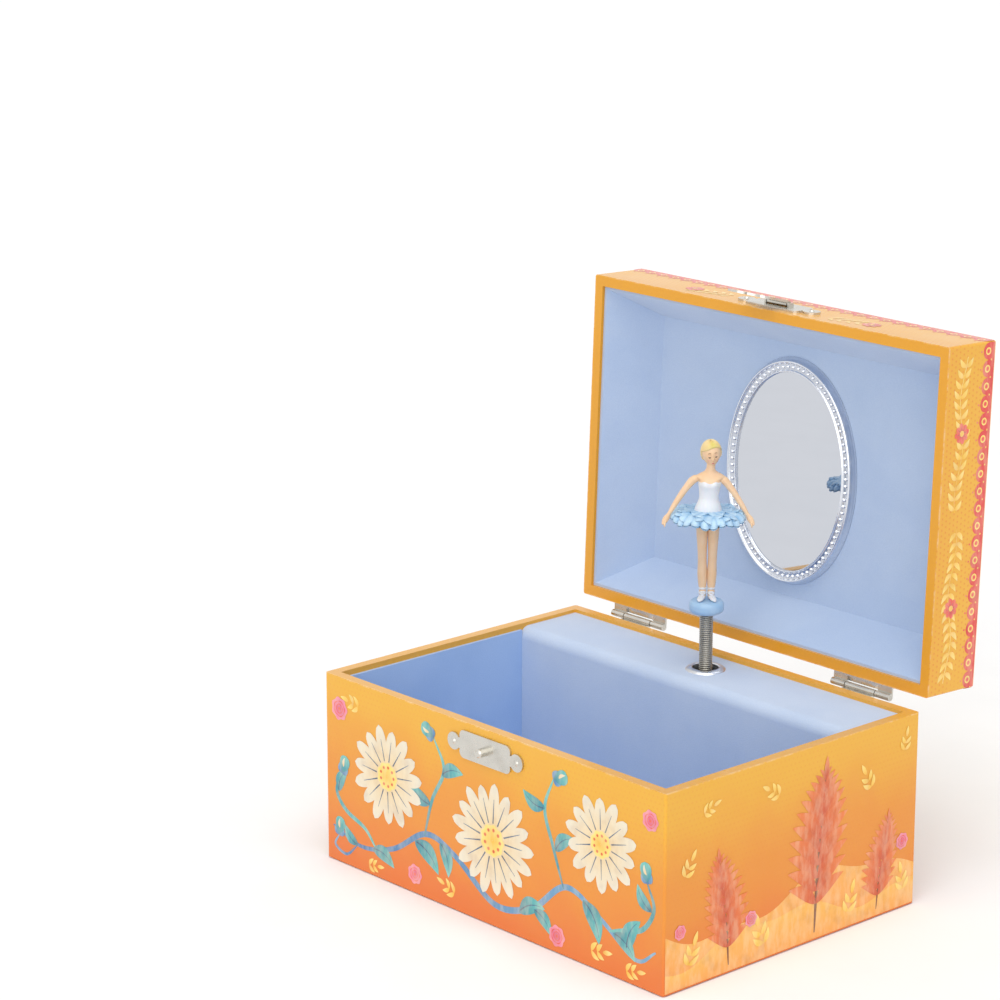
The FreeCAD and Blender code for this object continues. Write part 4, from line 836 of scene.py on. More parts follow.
class Dye(Enum):
    """Inks of the print, each from its start to its end."""

    TEAL = (tone(52, 132, 152), tone(104, 196, 190))
    BLUE = (tone(64, 116, 170), tone(116, 170, 204))
    CREAM = (tone(240, 204, 142), tone(232, 226, 208))
    PINK = (tone(222, 84, 122), tone(244, 146, 170))
    YELLOW = (tone(246, 188, 56), tone(254, 226, 124))
    CORAL = (tone(226, 70, 66), tone(242, 104, 88))
    HILL = (tone(244, 158, 80), tone(249, 194, 88))
    RUST = (tone(206, 82, 44), tone(240, 132, 62))
    BROWN = (tone(122, 70, 44), tone(160, 96, 58))
    SLATE = (tone(58, 84, 112), tone(66, 112, 152))


def leaf(length: float, width: float, bow: float = 0.12) -> Array:
    """Leaf outline: half width (w/2) sin(pi u^0.8)^0.85 across a middle line that bows as 4u(1-u).

    Args:
        length: tip to stalk.
        width: widest place.
        bow: rise of the middle line as a share of the length.

    Returns:
        Flat grid from the stalk at the origin along +X.
    """
    u = np.linspace(0, 1, 15)[:, None]
    v = np.linspace(-1, 1, 5)[None]
    half = width / 2 * np.maximum(np.sin(np.pi * u**0.8), 0.0) ** 0.85 + LEAST
    return spread(length * u, bow * length * 4 * u * (1 - u) + v * half)


def petal(length: float, width: float, full: float = 0.66) -> Array:
    """Blunt petal: widens as a quarter sine and ends in a half oval.

    Args:
        length: from the flower's middle.
        width: widest place.
        full: share of the length where it is widest.

    Returns:
        Flat grid along +X.
    """
    u = np.linspace(0, 1, 17)[:, None]
    v = np.linspace(-1, 1, 5)[None]
    rise = 0.22 + 0.78 * np.sin(np.pi / 2 * np.minimum(u / full, 1.0))
    end = np.sqrt(np.maximum(1 - (np.maximum(u - full, 0) / (1 - full)) ** 2, 0.0))
    return spread(length * u, v * (width / 2 * rise * end + LEAST))


def disc(radius: float, lobes: int = 0, depth: float = 0.0, inner: float = 0.0) -> Array:
    """Disc or ring: radius grows from `inner` to r (1 + depth cos(lobes a)).

    Args:
        radius: outside radius.
        lobes: waves round the edge.
        depth: height of the waves as a share.
        inner: inside radius.

    Returns:
        Flat grid of (angles, radii, 2), round in its first axis.
    """
    angle = angles(max(20, lobes * 6))[:, None]
    share = np.linspace(0, 1, 4)[None]
    reach = max(inner, radius * 0.03) * (1 - share) + radius * (1 + depth * np.cos(lobes * angle)) * share
    return spread(reach * np.cos(angle), reach * np.sin(angle))


def ribbon(line: Array, width: Array) -> Array:
    """Band of a given width to both sides of a flat line.

    Args:
        line: points, (n, 2).
        width: width at each point.

    Returns:
        Flat grid of (n, 3, 2).
    """
    along = np.gradient(line, axis=0)
    along /= np.linalg.norm(along, axis=1, keepdims=True)
    out = np.stack((-along[:, 1], along[:, 0]), -1)
    side = np.linspace(-0.5, 0.5, 3)[None, :, None]
    return line[:, None] + out[:, None] * side * width[:, None, None]


def scallops(length: float, count: int, band: float, drop: float) -> Array:
    """Straight band whose lower edge hangs in scallops: band + drop sqrt(1 - s^2), s from -1 to 1 in each.

    Args:
        length: length of the band, middle at the origin.
        count: scallops along it.
        band: height of the straight part.
        drop: depth of a scallop.

    Returns:
        Flat grid hanging from the X axis.
    """
    x = np.linspace(0, 1, count * 14 + 1)[:, None]
    s = 2 * np.abs((x * count) % 1 - 0.5)
    low = band + drop * np.sqrt(np.maximum(1 - s**2, 0.0))
    return spread((x - 0.5) * length, -low * np.linspace(0, 1, 4)[None])


@dataclass
class Panel:
    """One printed face: its lower middle, its directions to the right and up, and whether the lid has it."""

    shell: Shell
    origin: Sequence[float]
    right: Sequence[float]
    up: Sequence[float]
    on_lid: bool = False
    skin: float = 0.03
    step: float = 0.02
    film: float = 0.0009
    films: int = 19
    printed: int = 0

    def print(self, flat: Array, dye: Dye, layer: int, at: Sequence[float] = (0, 0), turn: float = 0.0,
              grade: Array | None = None, closed: bool = False) -> None:
        """Prints a flat grid on the face, graded from the dye's start to its end.

        Args:
            flat: flat grid in mm.
            dye: ink.
            layer: how many layers lie under it.
            at: where its origin goes.
            turn: turn in degrees.
            grade: share of the dye's end at each point; along the grid's first axis if not given.
            closed: the first axis joins up.
        """
        c, s = heading(turn)
        x = at[0] + flat[..., 0] * c - flat[..., 1] * s
        y = at[1] + flat[..., 0] * s + flat[..., 1] * c
        origin, right, up = (np.asarray(vector, float) for vector in (self.origin, self.right, self.up))
        out = np.cross(right, up)
        lift = self.skin + self.step * layer + self.film * (self.printed % self.films)
        points = origin + x[..., None] * right + y[..., None] * up + out * lift
        self.printed += 1
        if grade is None:
            grade = np.linspace(0, 1, len(flat))[:, None]
        if self.on_lid:
            points = HINGE.swing(points)
            out = HINGE.swing(origin + out) - HINGE.swing(origin)
        self.shell.patch(points, tint(*dye.value, np.clip(grade, 0, 1)), round_u=closed, facing=out)

    def round(self, radius: float, dye: Dye, layer: int, at: Sequence[float], lobes: int = 0,
              depth: float = 0.0, inner: float = 0.0) -> None:
        """Prints a disc or ring graded from its middle outwards."""
        flat = disc(radius, lobes, depth, inner)
        self.print(flat, dye, layer, at, grade=np.linspace(0, 1, flat.shape[1])[None], closed=True)

    def stem(self, knots: Sequence[Sequence[float]], width: float, dye: Dye, layer: int) -> Array:
        """Prints a smooth stalk through knots, fine at both ends.

        Args:
            knots: points that it passes.
            width: widest place.
            dye: ink.
            layer: layers under it.

        Returns:
            The line that it follows.
        """
        table = np.column_stack((np.arange(len(knots)), np.asarray(knots, float)))
        t = np.linspace(0, len(knots) - 1, len(knots) * 10)
        line = through(table, t)
        swell = np.sin(np.pi * np.linspace(0, 1, len(t))) ** 0.6
        self.print(ribbon(line, width * (0.25 + 0.75 * swell)), dye, layer)
        return line

    def spray(self, at: Sequence[float], turn: float, size: float, dye: Dye, layer: int,
              pairs: int = 2) -> None:
        """Prints a sprig: a leaf at its tip and pairs of leaves below it.

        Args:
            at: its foot.
            turn: its direction in degrees.
            size: length of a leaf.
            dye: ink.
            layer: layers under it.
            pairs: pairs of leaves.
        """
        width, step = size * 0.38, heading(turn) * size * 0.62
        for pair in range(pairs):
            length = size * (1 - 0.12 * pair)
            for side in (-1, 1):
                blade = leaf(length, width, 0.1 * side)
                self.print(blade, dye, layer, np.asarray(at) + step * pair, turn + 42 * side)
        self.print(leaf(size, width, 0.0), dye, layer, np.asarray(at) + step * pairs, turn)

    def daisy(self, at: Sequence[float], radius: float, petals: int, layer: int, turn: float = 0.0,
              dye: Dye = Dye.CREAM, eye: Dye = Dye.YELLOW) -> None:
        """Prints a daisy: petals with a fine rib each, and a dotted eye.

        Args:
            at: its middle.
            radius: reach of the petals.
            petals: how many.
            layer: layers under it.
            turn: turn of the first petal.
            dye: petals' ink.
            eye: ink of the eye.
        """
        width = TAU * radius * 0.70 / petals * 0.96
        rib = spread(np.linspace(0.3, 0.72, 6) * radius, 0.0)
        for number in range(petals):
            angle = turn + 360.0 * number / petals
            length = radius * (0.97 + 0.03 * (-1) ** number)
            self.print(petal(length, width), dye, layer + number % 2, at, angle)
            self.print(ribbon(rib, radius * np.linspace(0.028, 0.008, 6)), Dye.SLATE, layer + 2, at, angle)
        self.round(radius * 0.27, eye, layer + 3, at, lobes=9, depth=0.05)
        for angle in range(0, 360, 40):
            self.round(radius * 0.032, Dye.RUST, layer + 4, np.asarray(at) + radius * 0.185 * heading(angle))

    def rosette(self, at: Sequence[float], radius: float, layer: int) -> None:
        """Prints a small rose: a lobed disc with two fine rings and a heart.

        Args:
            at: its middle.
            radius: its radius.
            layer: layers under it.
        """
        self.round(radius, Dye.PINK, layer, at, 7, 0.07)
        self.round(radius * 0.72, Dye.CORAL, layer + 1, at, 5, 0.06, radius * 0.64)
        self.round(radius * 0.44, Dye.CORAL, layer + 1, at, 4, 0.06, radius * 0.36)
        self.round(radius * 0.16, Dye.CORAL, layer + 1, at)

    def bud(self, at: Sequence[float], turn: float, size: float, layer: int) -> None:
        """Prints a round bud with a light patch and two sepals.

        Args:
            at: its foot.
            turn: its direction in degrees.
            size: its length.
            layer: layers under it.
        """
        self.print(petal(size, size * 0.72), Dye.TEAL, layer, at, turn)
        patch = np.asarray(at) + heading(turn) * size * 0.38
        self.print(leaf(size * 0.5, size * 0.16), Dye.CREAM, layer + 1, patch, turn + 8)
        for side in (-1, 1):
            self.print(leaf(size * 0.55, size * 0.2, 0.2 * side), Dye.BLUE, layer + 1, at, turn + 38 * side)


@dataclass
class Print:
    """The print of the case: a flower garden on the walls, and a laced, wreathed lid."""

    half_w: float = 82.5
    half_d: float = 59.0
    lid_low: float = 67.7
    lid_top: float = 90.7
    garland_level: float = 8.2
    wreath_w: float = 52.0
    wreath_d: float = 34.0

    def walls(self, shell: Shell, low: float = 0.0, on_lid: bool = False) -> dict[str, Panel]:
        """Four upright faces of the base or of the lid.

        Args:
            shell: piece that their print joins.
            low: height of their lower edge.
            on_lid: whether the lid carries them.

        Returns:
            The faces by name.
        """
        sides = {"front": (0, -1), "back": (0, 1), "right": (1, 0), "left": (-1, 0)}
        return {name: Panel(shell, (x * self.half_w, y * self.half_d, low), (-y, x, 0), (0, 0, 1), on_lid)
                for name, (x, y) in sides.items()}

    def garden(self, face: Panel) -> None:
        """Front: a winding stalk with large daisies, leaves, buds, small roses and fallen sprigs.

        Args:
            face: where it goes.
        """
        main_stalk = ((-79, 13), (-64, 9), (-47, 13), (-30, 23), (-15, 19), (4, 8), (22, 12), (38, 24),
                      (54, 18), (70, 9), (79, 14))
        for knots, width, dye in (
                (main_stalk, 2.3, Dye.BLUE),
                (((-74, 33), (-77, 26), (-72, 20), (-62, 16), (-56, 10)), 1.7, Dye.TEAL),
                (((75, 36), (78, 28), (73, 20), (64, 17), (58, 15)), 1.7, Dye.TEAL),
                (((-31, 22), (-27, 36), (-21, 48), (-26, 58)), 1.5, Dye.TEAL),
                (((37, 23), (32, 36), (28, 48), (32, 59)), 1.5, Dye.TEAL),
                (((-66, 9), (-72, 4), (-78, 6), (-76, 10)), 1.1, Dye.BLUE)):
            face.stem(knots, width, dye, 0)
        share = np.linspace(0.06, 0.86, 9)
        vein = spread(share, 0.56 * share * (1 - share))
        for at, turn, size in (
                ((-66, 9), 140, 9), ((-36, 19), -36, 15), ((-23, 22), -70, 12), ((-58, 10), -20, 12),
                ((-28, 34), 150, 12), ((16, 9), 20, 13), ((23, 12), -40, 11), ((46, 22), -60, 15),
                ((66, 11), 62, 13), ((60, 15), -35, 12), ((-76, 26), 60, 10), ((77, 27), 130, 10),
                ((-22, 46), 15, 11), ((33, 35), 35, 11), ((28, 48), 160, 11)):
            face.print(leaf(size, size * 0.46, 0.14), Dye.TEAL, 1, at, turn)
            face.print(ribbon(vein * size, size * np.linspace(0.04, 0.012, 9)), Dye.SLATE, 2, at, turn)
        for at, radius, petals, turn in (
                ((-50, 38), 18.0, 15, 8.0), ((3, 30), 20.0, 17, 2.0), ((54, 43), 16.5, 14, 15.0)):
            face.daisy(at, radius, petals, 3, turn)
        for at, turn in (((-26, 58), 150), ((32, 59), 20), ((-74, 33), 70), ((75, 36), 100), ((-76, 10), 80)):
            face.bud(at, turn, 7.0, 3)
        for at, radius in (((-75, 56), 4.0), ((34, 6), 3.6), ((76, 57), 3.4), ((-36, 7), 3.4)):
            face.rosette(at, radius, 3)
        for at, turn, size in (((-65, 59), 170, 4.2), ((-16, 6), 160, 4.2), ((50, 6), 10, 4.4),
                               ((-60, 3.5), 8, 3.6), ((66, 4), 12, 4.0)):
            face.spray(at, turn, size, Dye.YELLOW, 1)

    def frond(self, face: Panel, foot: float, tall: float, lean: float, pairs: int = 11) -> None:
        """Prints a fern frond: a stalk with pairs of leaves that grow, shrink and close towards its tip.

        Args:
            face: where it goes.
            foot: place of its foot along the face.
            tall: its height.
            lean: how far its tip stands aside.
            pairs: pairs of leaves.
        """
        knots = [(foot + lean * aside, up) for aside, up in (
            (0.0, 3), (0.2, tall * 0.4), (0.7, tall * 0.75), (1.0, tall + 3))]
        line = face.stem(knots, tall * 0.03, Dye.BROWN, 2)
        for number in range(pairs):
            share = 0.2 + 0.76 * number / (pairs - 1)
            at = line[int(share * (len(line) - 1))]
            size = tall * 0.30 * math.sin(math.pi * (0.16 + 0.80 * share)) + 1.5
            for side in (-1, 1):
                blade = leaf(size, size * 0.30, 0.1 * side)
                face.print(blade, Dye.RUST, 3 + number % 2, at, 90 - side * (66 - 34 * share))
        face.print(leaf(tall * 0.13, tall * 0.04, 0.0), Dye.RUST, 5, line[-2], 90 - lean)

    def ferns(self, face: Panel, flip: int) -> None:
        """Sides: tall fern fronds over low hills, with yellow sprigs and a small rose or two.

        Args:
            face: where they go.
            flip: 1, or -1 for the other side.
        """
        x = np.linspace(-58.4, 58.4, 120)[:, None]
        share = np.linspace(0, 1, 5)[None]
        foot = 0.9
        for layer, (height, swell, phase) in enumerate(((19, 5.0, 0.4), (11, 3.6, 2.2))):
            crest = height + swell * np.sin(x * flip / 15.5 + phase) + 1.8 * np.sin(x * flip / 6.3)
            hills = spread(x, foot + (crest - foot) * share)
            face.print(hills, Dye.HILL, layer, grade=0.55 * share + 0.25 * layer)
        for along, tall, lean in ((10, 54, 4), (-30, 37, -5), (40, 31, 5)):
            self.frond(face, along * flip, tall, lean * flip)
        for along, up, turn, size in (
                (-48, 8, 70, 5), (-14, 6, 110, 5.5), (26, 6, 75, 5), (53, 7, 100, 4.6), (-50, 38, 60, 4.2),
                (36, 47, 120, 4.4), (-8, 55, 150, 4.0), (52, 56, 80, 3.6), (-42, 57, 20, 3.6)):
            face.spray((along * flip, up), turn, size, Dye.YELLOW, 5)
        for along, up, radius in ((-20, 16, 2.6), (52, 24, 2.8), (-52, 20, 2.4)):
            face.rosette((along * flip, up), radius, 6)

    def back_garden(self, face: Panel) -> None:
        """Back: two daisies with leaves, clear of the hinges, the key and the screws.

        Args:
            face: where they go.
        """
        low_stalk = np.array(((79, 9), (66, 6), (54, 11), (44, 21), (38, 32)))
        high_stalk = np.array(((79, 40), (72, 45), (63, 41), (57, 30), (55, 12)))
        for side in (-1, 1):
            face.stem(low_stalk * (side, 1), 1.4, Dye.BLUE, 0)
            face.stem(high_stalk * (side, 1), 1.1, Dye.TEAL, 0)
            for along, up, turn, size in (
                    (66, 6, 55, 13), (58, 9, 140, 11), (45, 20, 200, 11), (72, 45, 120, 9), (39, 30, 150, 8)):
                angle = turn if side > 0 else 180 - turn
                face.print(leaf(size, size * 0.42, 0.14 * side), Dye.TEAL, 1, (side * along, up), angle)
            face.daisy((side * 60, 34), 13.5, 13, 3, 6.0)
            face.rosette((side * 40, 8), 3.4, 3)
            face.rosette((side * 76, 22), 3.2, 3)
            face.bud((side * 38, 32), 90 + 20 * side, 6.0, 3)
            face.spray((side * 12, 36), 90 - 30 * side, 4.6, Dye.YELLOW, 1)
            face.spray((side * 14, 6), 90 - 60 * side, 4.2, Dye.YELLOW, 1)

    def lace(self, face: Panel, half: float, top: float, count: int) -> None:
        """Coral lace along a top edge: a scalloped band, a yellow spot in each scallop and beads below.

        Args:
            face: where it goes.
            half: half the face's length.
            top: height of the edge on the face.
            count: scallops.
        """
        length = 2 * half - 0.6
        face.print(scallops(length, count, band=2.9, drop=2.7), Dye.CORAL, 0, (0, top), grade=UNGRADED)
        step = length / count
        for number in range(count):
            x = -length / 2 + step * (number + 0.5)
            for radius, dye, layer, along, down in (
                    (1.3, Dye.YELLOW, 1, 0.0, 3.2), (0.75, Dye.CORAL, 2, 0.0, 3.2),
                    (0.32, Dye.YELLOW, 1, step / 2, 1.5), (0.36, Dye.CORAL, 0, 0.0, 6.6)):
                face.round(radius, dye, layer, (x + along, top - down))

    def garland(self, face: Panel, half: float, reach: tuple[float, float], flowers: bool) -> None:
        """Yellow leaves along a lid wall on both sides of a fine stalk, with a coral flower or two.

        Args:
            face: where it goes.
            half: half the face's length.
            reach: where the stalk starts and ends, on both sides of the face's middle.
            flowers: whether coral daisies sit on the stalk.
        """
        low, swell, wave, pitch = self.garland_level, 1.3, 5.2, 3.4
        for side in (-1, 1):
            x = np.linspace(reach[0], min(half - 4, reach[1]), 60) * side
            face.print(ribbon(spread(x, low + swell * np.sin(x / wave)), np.full(60, 0.34)), Dye.YELLOW, 0)
            for foot in np.arange(abs(x[0]) + 1.0, abs(x[-1]) - 2.0, pitch) * side:
                at = (foot, low + swell * math.sin(foot / wave))
                for way in (-1, 1):
                    turn = (90 - 90 * side) + side * way * 48
                    face.print(leaf(4.4, 1.7, 0.12 * way * side), Dye.YELLOW, 1, at, turn)
            if flowers:
                face.daisy((side * half * 0.5, low + 0.4), 3.6, 8, 2, 10.0, Dye.CORAL)

    def wreath(self, face: Panel) -> None:
        """Lid's top: an oval wreath of leaves, daisies, roses and buds, corner sprigs and scattered dots.

        Args:
            face: where it goes.
        """
        oval = np.array((self.wreath_w, self.wreath_d))
        t = np.linspace(0, TAU, 220)
        line = spread(np.cos(t), np.sin(t)) * oval
        twine = line + 1.6 * spread(np.sin(9 * t), np.cos(9 * t))
        face.print(ribbon(line, np.full(220, 1.3)), Dye.BLUE, 0)
        face.print(ribbon(twine, np.full(220, 0.6)), Dye.TEAL, 0)
        leaves = 32
        for number in range(leaves):
            angle = 360.0 * number / leaves
            ahead = heading(angle + 90) * oval
            turn = math.degrees(math.atan2(ahead[1], ahead[0])) + (46 if number % 2 else -46)
            size = 9.0 + 2.0 * (number % 3)
            dye = Dye.TEAL if number % 4 else Dye.YELLOW
            face.print(leaf(size, size * 0.4, 0.1), dye, 1, heading(angle) * oval, turn)
        for angle, radius in ((18, 11), (90, 12.5), (162, 11), (232, 10.5), (308, 10.5)):
            face.daisy(heading(angle) * oval, radius, 13, 3, angle)
        for angle in (54, 126, 197, 270, 343):
            face.rosette(heading(angle) * oval, 4.2, 3)
            face.bud(heading(angle + math.degrees(0.13)) * oval, angle, 6.0, 3)
        for side, way in ((-1, -1), (-1, 1), (1, -1), (1, 1)):
            inwards = math.degrees(math.atan2(-way, -side))
            face.spray((side * 71, way * 46), inwards, 6.0, Dye.YELLOW, 1, 3)
            face.rosette((side * 73, way * 48.5), 2.6, 3)
        for row in range(-2, 3):
            for column in range(-4, 5):
                at = (8.4 * column + 4.2 * (row % 2), 8.6 * row)
                if (at[0] / 38) ** 2 + (at[1] / 21) ** 2 < 1:
                    face.round(0.8, Dye.CORAL if (column + row) % 2 else Dye.YELLOW, 0, at)

    def build(self) -> None:
        """Prints every face, as one piece for the base and one for the lid."""
        base = Shell("base_print_motifs")
        walls = self.walls(base)
        self.garden(walls["front"])
        self.back_garden(walls["back"])
        self.ferns(walls["right"], 1)
        self.ferns(walls["left"], -1)
        base.ride("base", INK, "print_paper")
        lid = Shell("lid_print_motifs")
        w, d, top = self.half_w, self.half_d, self.lid_top
        walls = self.walls(lid, self.lid_low, True)
        for name, half, count, reach in (
                ("front", w, 28, (24.0, 44.0)), ("back", w, 28, (3.0, 36.0)),
                ("right", d, 20, (3.0, 90.0)), ("left", d, 20, (3.0, 90.0))):
            self.lace(walls[name], half, top - self.lid_low - 0.25, count)
            self.garland(walls[name], half, reach, name != "back")
        self.wreath(Panel(lid, (0, 0, top), (1, 0, 0), (0, 1, 0), True))
        for turn, half, reach, count in ((0, w, d, 28), (180, w, d, 28), (90, d, w, 20), (270, d, w, 20)):
            c, s = heading(turn)
            edge = Panel(lid, (-s * reach, c * reach, top), (c, s, 0), (-s, c, 0), True)
            strip = scallops(2 * half - 1.4, count, band=1.7, drop=1.5)
            edge.print(strip, Dye.CORAL, turn // 90 % 2, (0, -0.35), grade=UNGRADED)
        lid.ride("lid", INK, "print_paper")


@dataclass
class OvalMirror:
    """Beaded silver frame round the oval glass, drawn with the lid shut and facing down."""

    panel: float = 86.3
    glass_wide: float = 24.8
    glass_long: float = 35.0
    band_wide: float = 5.2
    band_long: float = 5.3
    beads: int = 84
    bead: float = 0.66
    bead_share: float = 0.38
    bead_seat: float = 2.2
    silver: Colour = tone(224, 227, 233)
    # Painted shade: the channel between the rims gets a darker silver than the rims.
    channel: Colour = tone(198, 202, 211)
    # Painted highlight: the beads get a brighter silver than the frame.
    bright: Colour = tone(248, 249, 251)
    channel_span: tuple[float, float] = (0.18, 0.58)
    profile: tuple[tuple[float, float], ...] = (
        (0.0, 0.02), (0.0, 1.4), (0.03, 2.5), (0.06, 2.7), (0.10, 2.7), (0.14, 2.55), (0.17, 2.3),
        (0.21, 2.2), (0.55, 2.2), (0.59, 2.3), (0.62, 2.65), (0.66, 2.9), (0.71, 3.0), (0.76, 2.9),
        (0.81, 2.6), (0.90, 1.4), (0.96, 0.7), (1.0, 0.3), (1.0, 0.02))

    def spot(self, share: Array | float, height: Array | float, angle: Array | float) -> Array:
        """Point of the frame: an oval that grows with the band's share, hung below the panel by the height.

        Args:
            share: share of the band outwards.
            height: height off the panel.
            angle: angle round the oval.

        Returns:
            Points with the lid open.
        """
        x = (self.glass_wide + self.band_wide * share) * np.cos(angle)
        y = (self.glass_long + self.band_long * share) * np.sin(angle)
        return HINGE.swing(spread(x, y, self.panel - height))

    def build(self) -> None:
        """Carries the frame's profile round the oval and sets the beads, as domes, evenly in its channel."""
        share, height = np.asarray(self.profile).T[:, None]
        low, high = self.channel_span
        # Painted shade: the channel is inked darker than the rims.
        ink = tint(self.silver, self.channel, (share > low) & (share < high))
        shell = Shell("mirror_beaded_frame")
        shell.patch(self.spot(share, height, angles(240)[:, None]), ink, round_u=True, round_v=True)
        fine = np.linspace(0, TAU, 4001)
        steps = np.linalg.norm(np.diff(self.spot(self.bead_share, self.bead_seat, fine), axis=0), axis=1)
        run = np.concatenate(((0.0,), np.cumsum(steps)))
        seats = np.interp(np.linspace(0, run[-1], self.beads, endpoint=False), run, fine)
        out = self.spot(self.bead_share, 1.0, 0.0) - self.spot(self.bead_share, 0.0, 0.0)
        side = np.array((1.0, 0.0, 0.0))
        rise = np.linspace(0, 0.96, 6)[:, None, None] * math.pi / 2
        turn = angles(12)[None, :, None]
        round_it = np.cos(turn) * side + np.sin(turn) * np.cross(out, side)
        dome = self.bead * (np.cos(rise) * round_it + np.sin(rise) * out)
        for middle in self.spot(self.bead_share, self.bead_seat, seats):
            # Painted highlight: each bead is inked brighter than the frame.
            shell.patch(dome + middle, self.bright, round_v=True, ends=True)
        shell.ride("lid", FRAME_SILVER, "frame_silver", "mirror_frame")


@dataclass
class HingeWebs:
    """Strip of each lid leaf that joins the bends of its two end knuckles, drawn with the lid shut."""

    centre: float = 53.5
    half_length: float = 6.9
    near: float = 59.3
    far: float = 61.2
    low: float = 68.05
    high: float = 68.75
    roundness: float = 0.3

    def build(self) -> None:
        """Carries a rounded oblong along each hinge: half sizes times cos and sin raised to the roundness."""
        angle = angles(24)[None]
        across, over = (
            np.sign(turn) * np.abs(turn) ** self.roundness for turn in (np.cos(angle), np.sin(angle)))
        x = np.linspace(-self.half_length, self.half_length, 6)[:, None]
        y = (self.near + self.far) / 2 + (self.far - self.near) / 2 * across
        z = (self.low + self.high) / 2 + (self.high - self.low) / 2 * over
        shell = Shell("hinge_leaf_webs")
        for side in (-1, 1):
            shell.patch(HINGE.swing(spread(x + side * self.centre, y, z)), round_v=True, ends=True)
        shell.ride("lid", NICKEL, "nickel")


@dataclass
class CoilSpring:
    """Close-wound steel spring between the deck and the dancer's disc."""

    x: float = 0.0
    y: float = 42.4
    low: float = 62.4
    high: float = 88.2
    deck: float = 66.2
    disc: float = 84.8
    radius: float = 2.03
    wire: float = 0.33
    pitch: float = 0.70

    def build(self) -> None:
        """Winds the wire: radius R + w cos(s) and height z + w sin(s) as the angle runs up the pitch."""
        turns = (self.high - self.low) / self.pitch
        t = np.linspace(0, TAU * turns, int(turns * 28))[:, None]
        s = angles(8)[None]
        reach = self.radius + self.wire * np.cos(s)
        rise = self.low + self.pitch * t / TAU + self.wire * np.sin(s)
        wound = spread(self.x + reach * np.cos(t), self.y + reach * np.sin(t), rise)
        shell = Shell("dancer_coil")
        shell.patch(wound, round_v=True, ends=True)
        coil = shell.piece(SPRING_STEEL)
        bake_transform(coil)
        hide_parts("dancer_spring")


@dataclass(frozen=True)
class Ruffle:
    """One layer of the tutu: its lobes, its rim's reach and height, its start, thickness and sway."""

    lobes: int
    reach: float
    rim: float
    inner: float
    thick: float
    sway: float
    phase: float
    waist: float = 3.4

    def form(self, angle: Array, share: Array, face: Array) -> tuple[Array, Array]:
        """Closed band round the hips, bulged into lobes |sin(n a / 2)|^0.6 and thin between them at the rim.

        Args:
            angle: angle round the hips.
            share: share of the way out to the rim.
            face: 1 on the upper face, -1 on the lower.

        Returns:
            The points in the dancer's frame, and how pale each is: painted light, paler on the lobes and the
            upper face, darker between the lobes, underneath and towards the waist.
        """
        tip = ease(share, 0.4, 1.0)
        beat = self.lobes * angle / 2 + self.phase + 0.25 * np.sin(5 * angle + self.phase)
        lobe = np.abs(np.sin(beat)) ** 0.6
        dip = tip * (1 - lobe)
        out = self.waist + (self.reach - self.waist) * np.sin(share * math.pi / 2) ** 0.9
        radius = out * (1 - 0.10 * dip)
        half = self.thick / 2 * np.sqrt(np.maximum(1 - share**6, 0.0)) * (1 - 0.55 * dip)
        wave = self.sway * tip * np.sin(7 * angle + 2 * self.phase)
        z = self.inner + (self.rim - self.inner) * tip + wave + (half - 0.35 * dip) * face
        # Painted light and shade: paler on the lobes and the upper face, darker between the lobes, on the
        # lower face and near the waist.
        pale = np.clip(0.18 + 0.62 * lobe**1.5 + 0.16 * face * tip - 0.10 * (1 - tip), 0, 1)
        return spread(radius * np.cos(angle), radius * np.sin(angle), z), pale


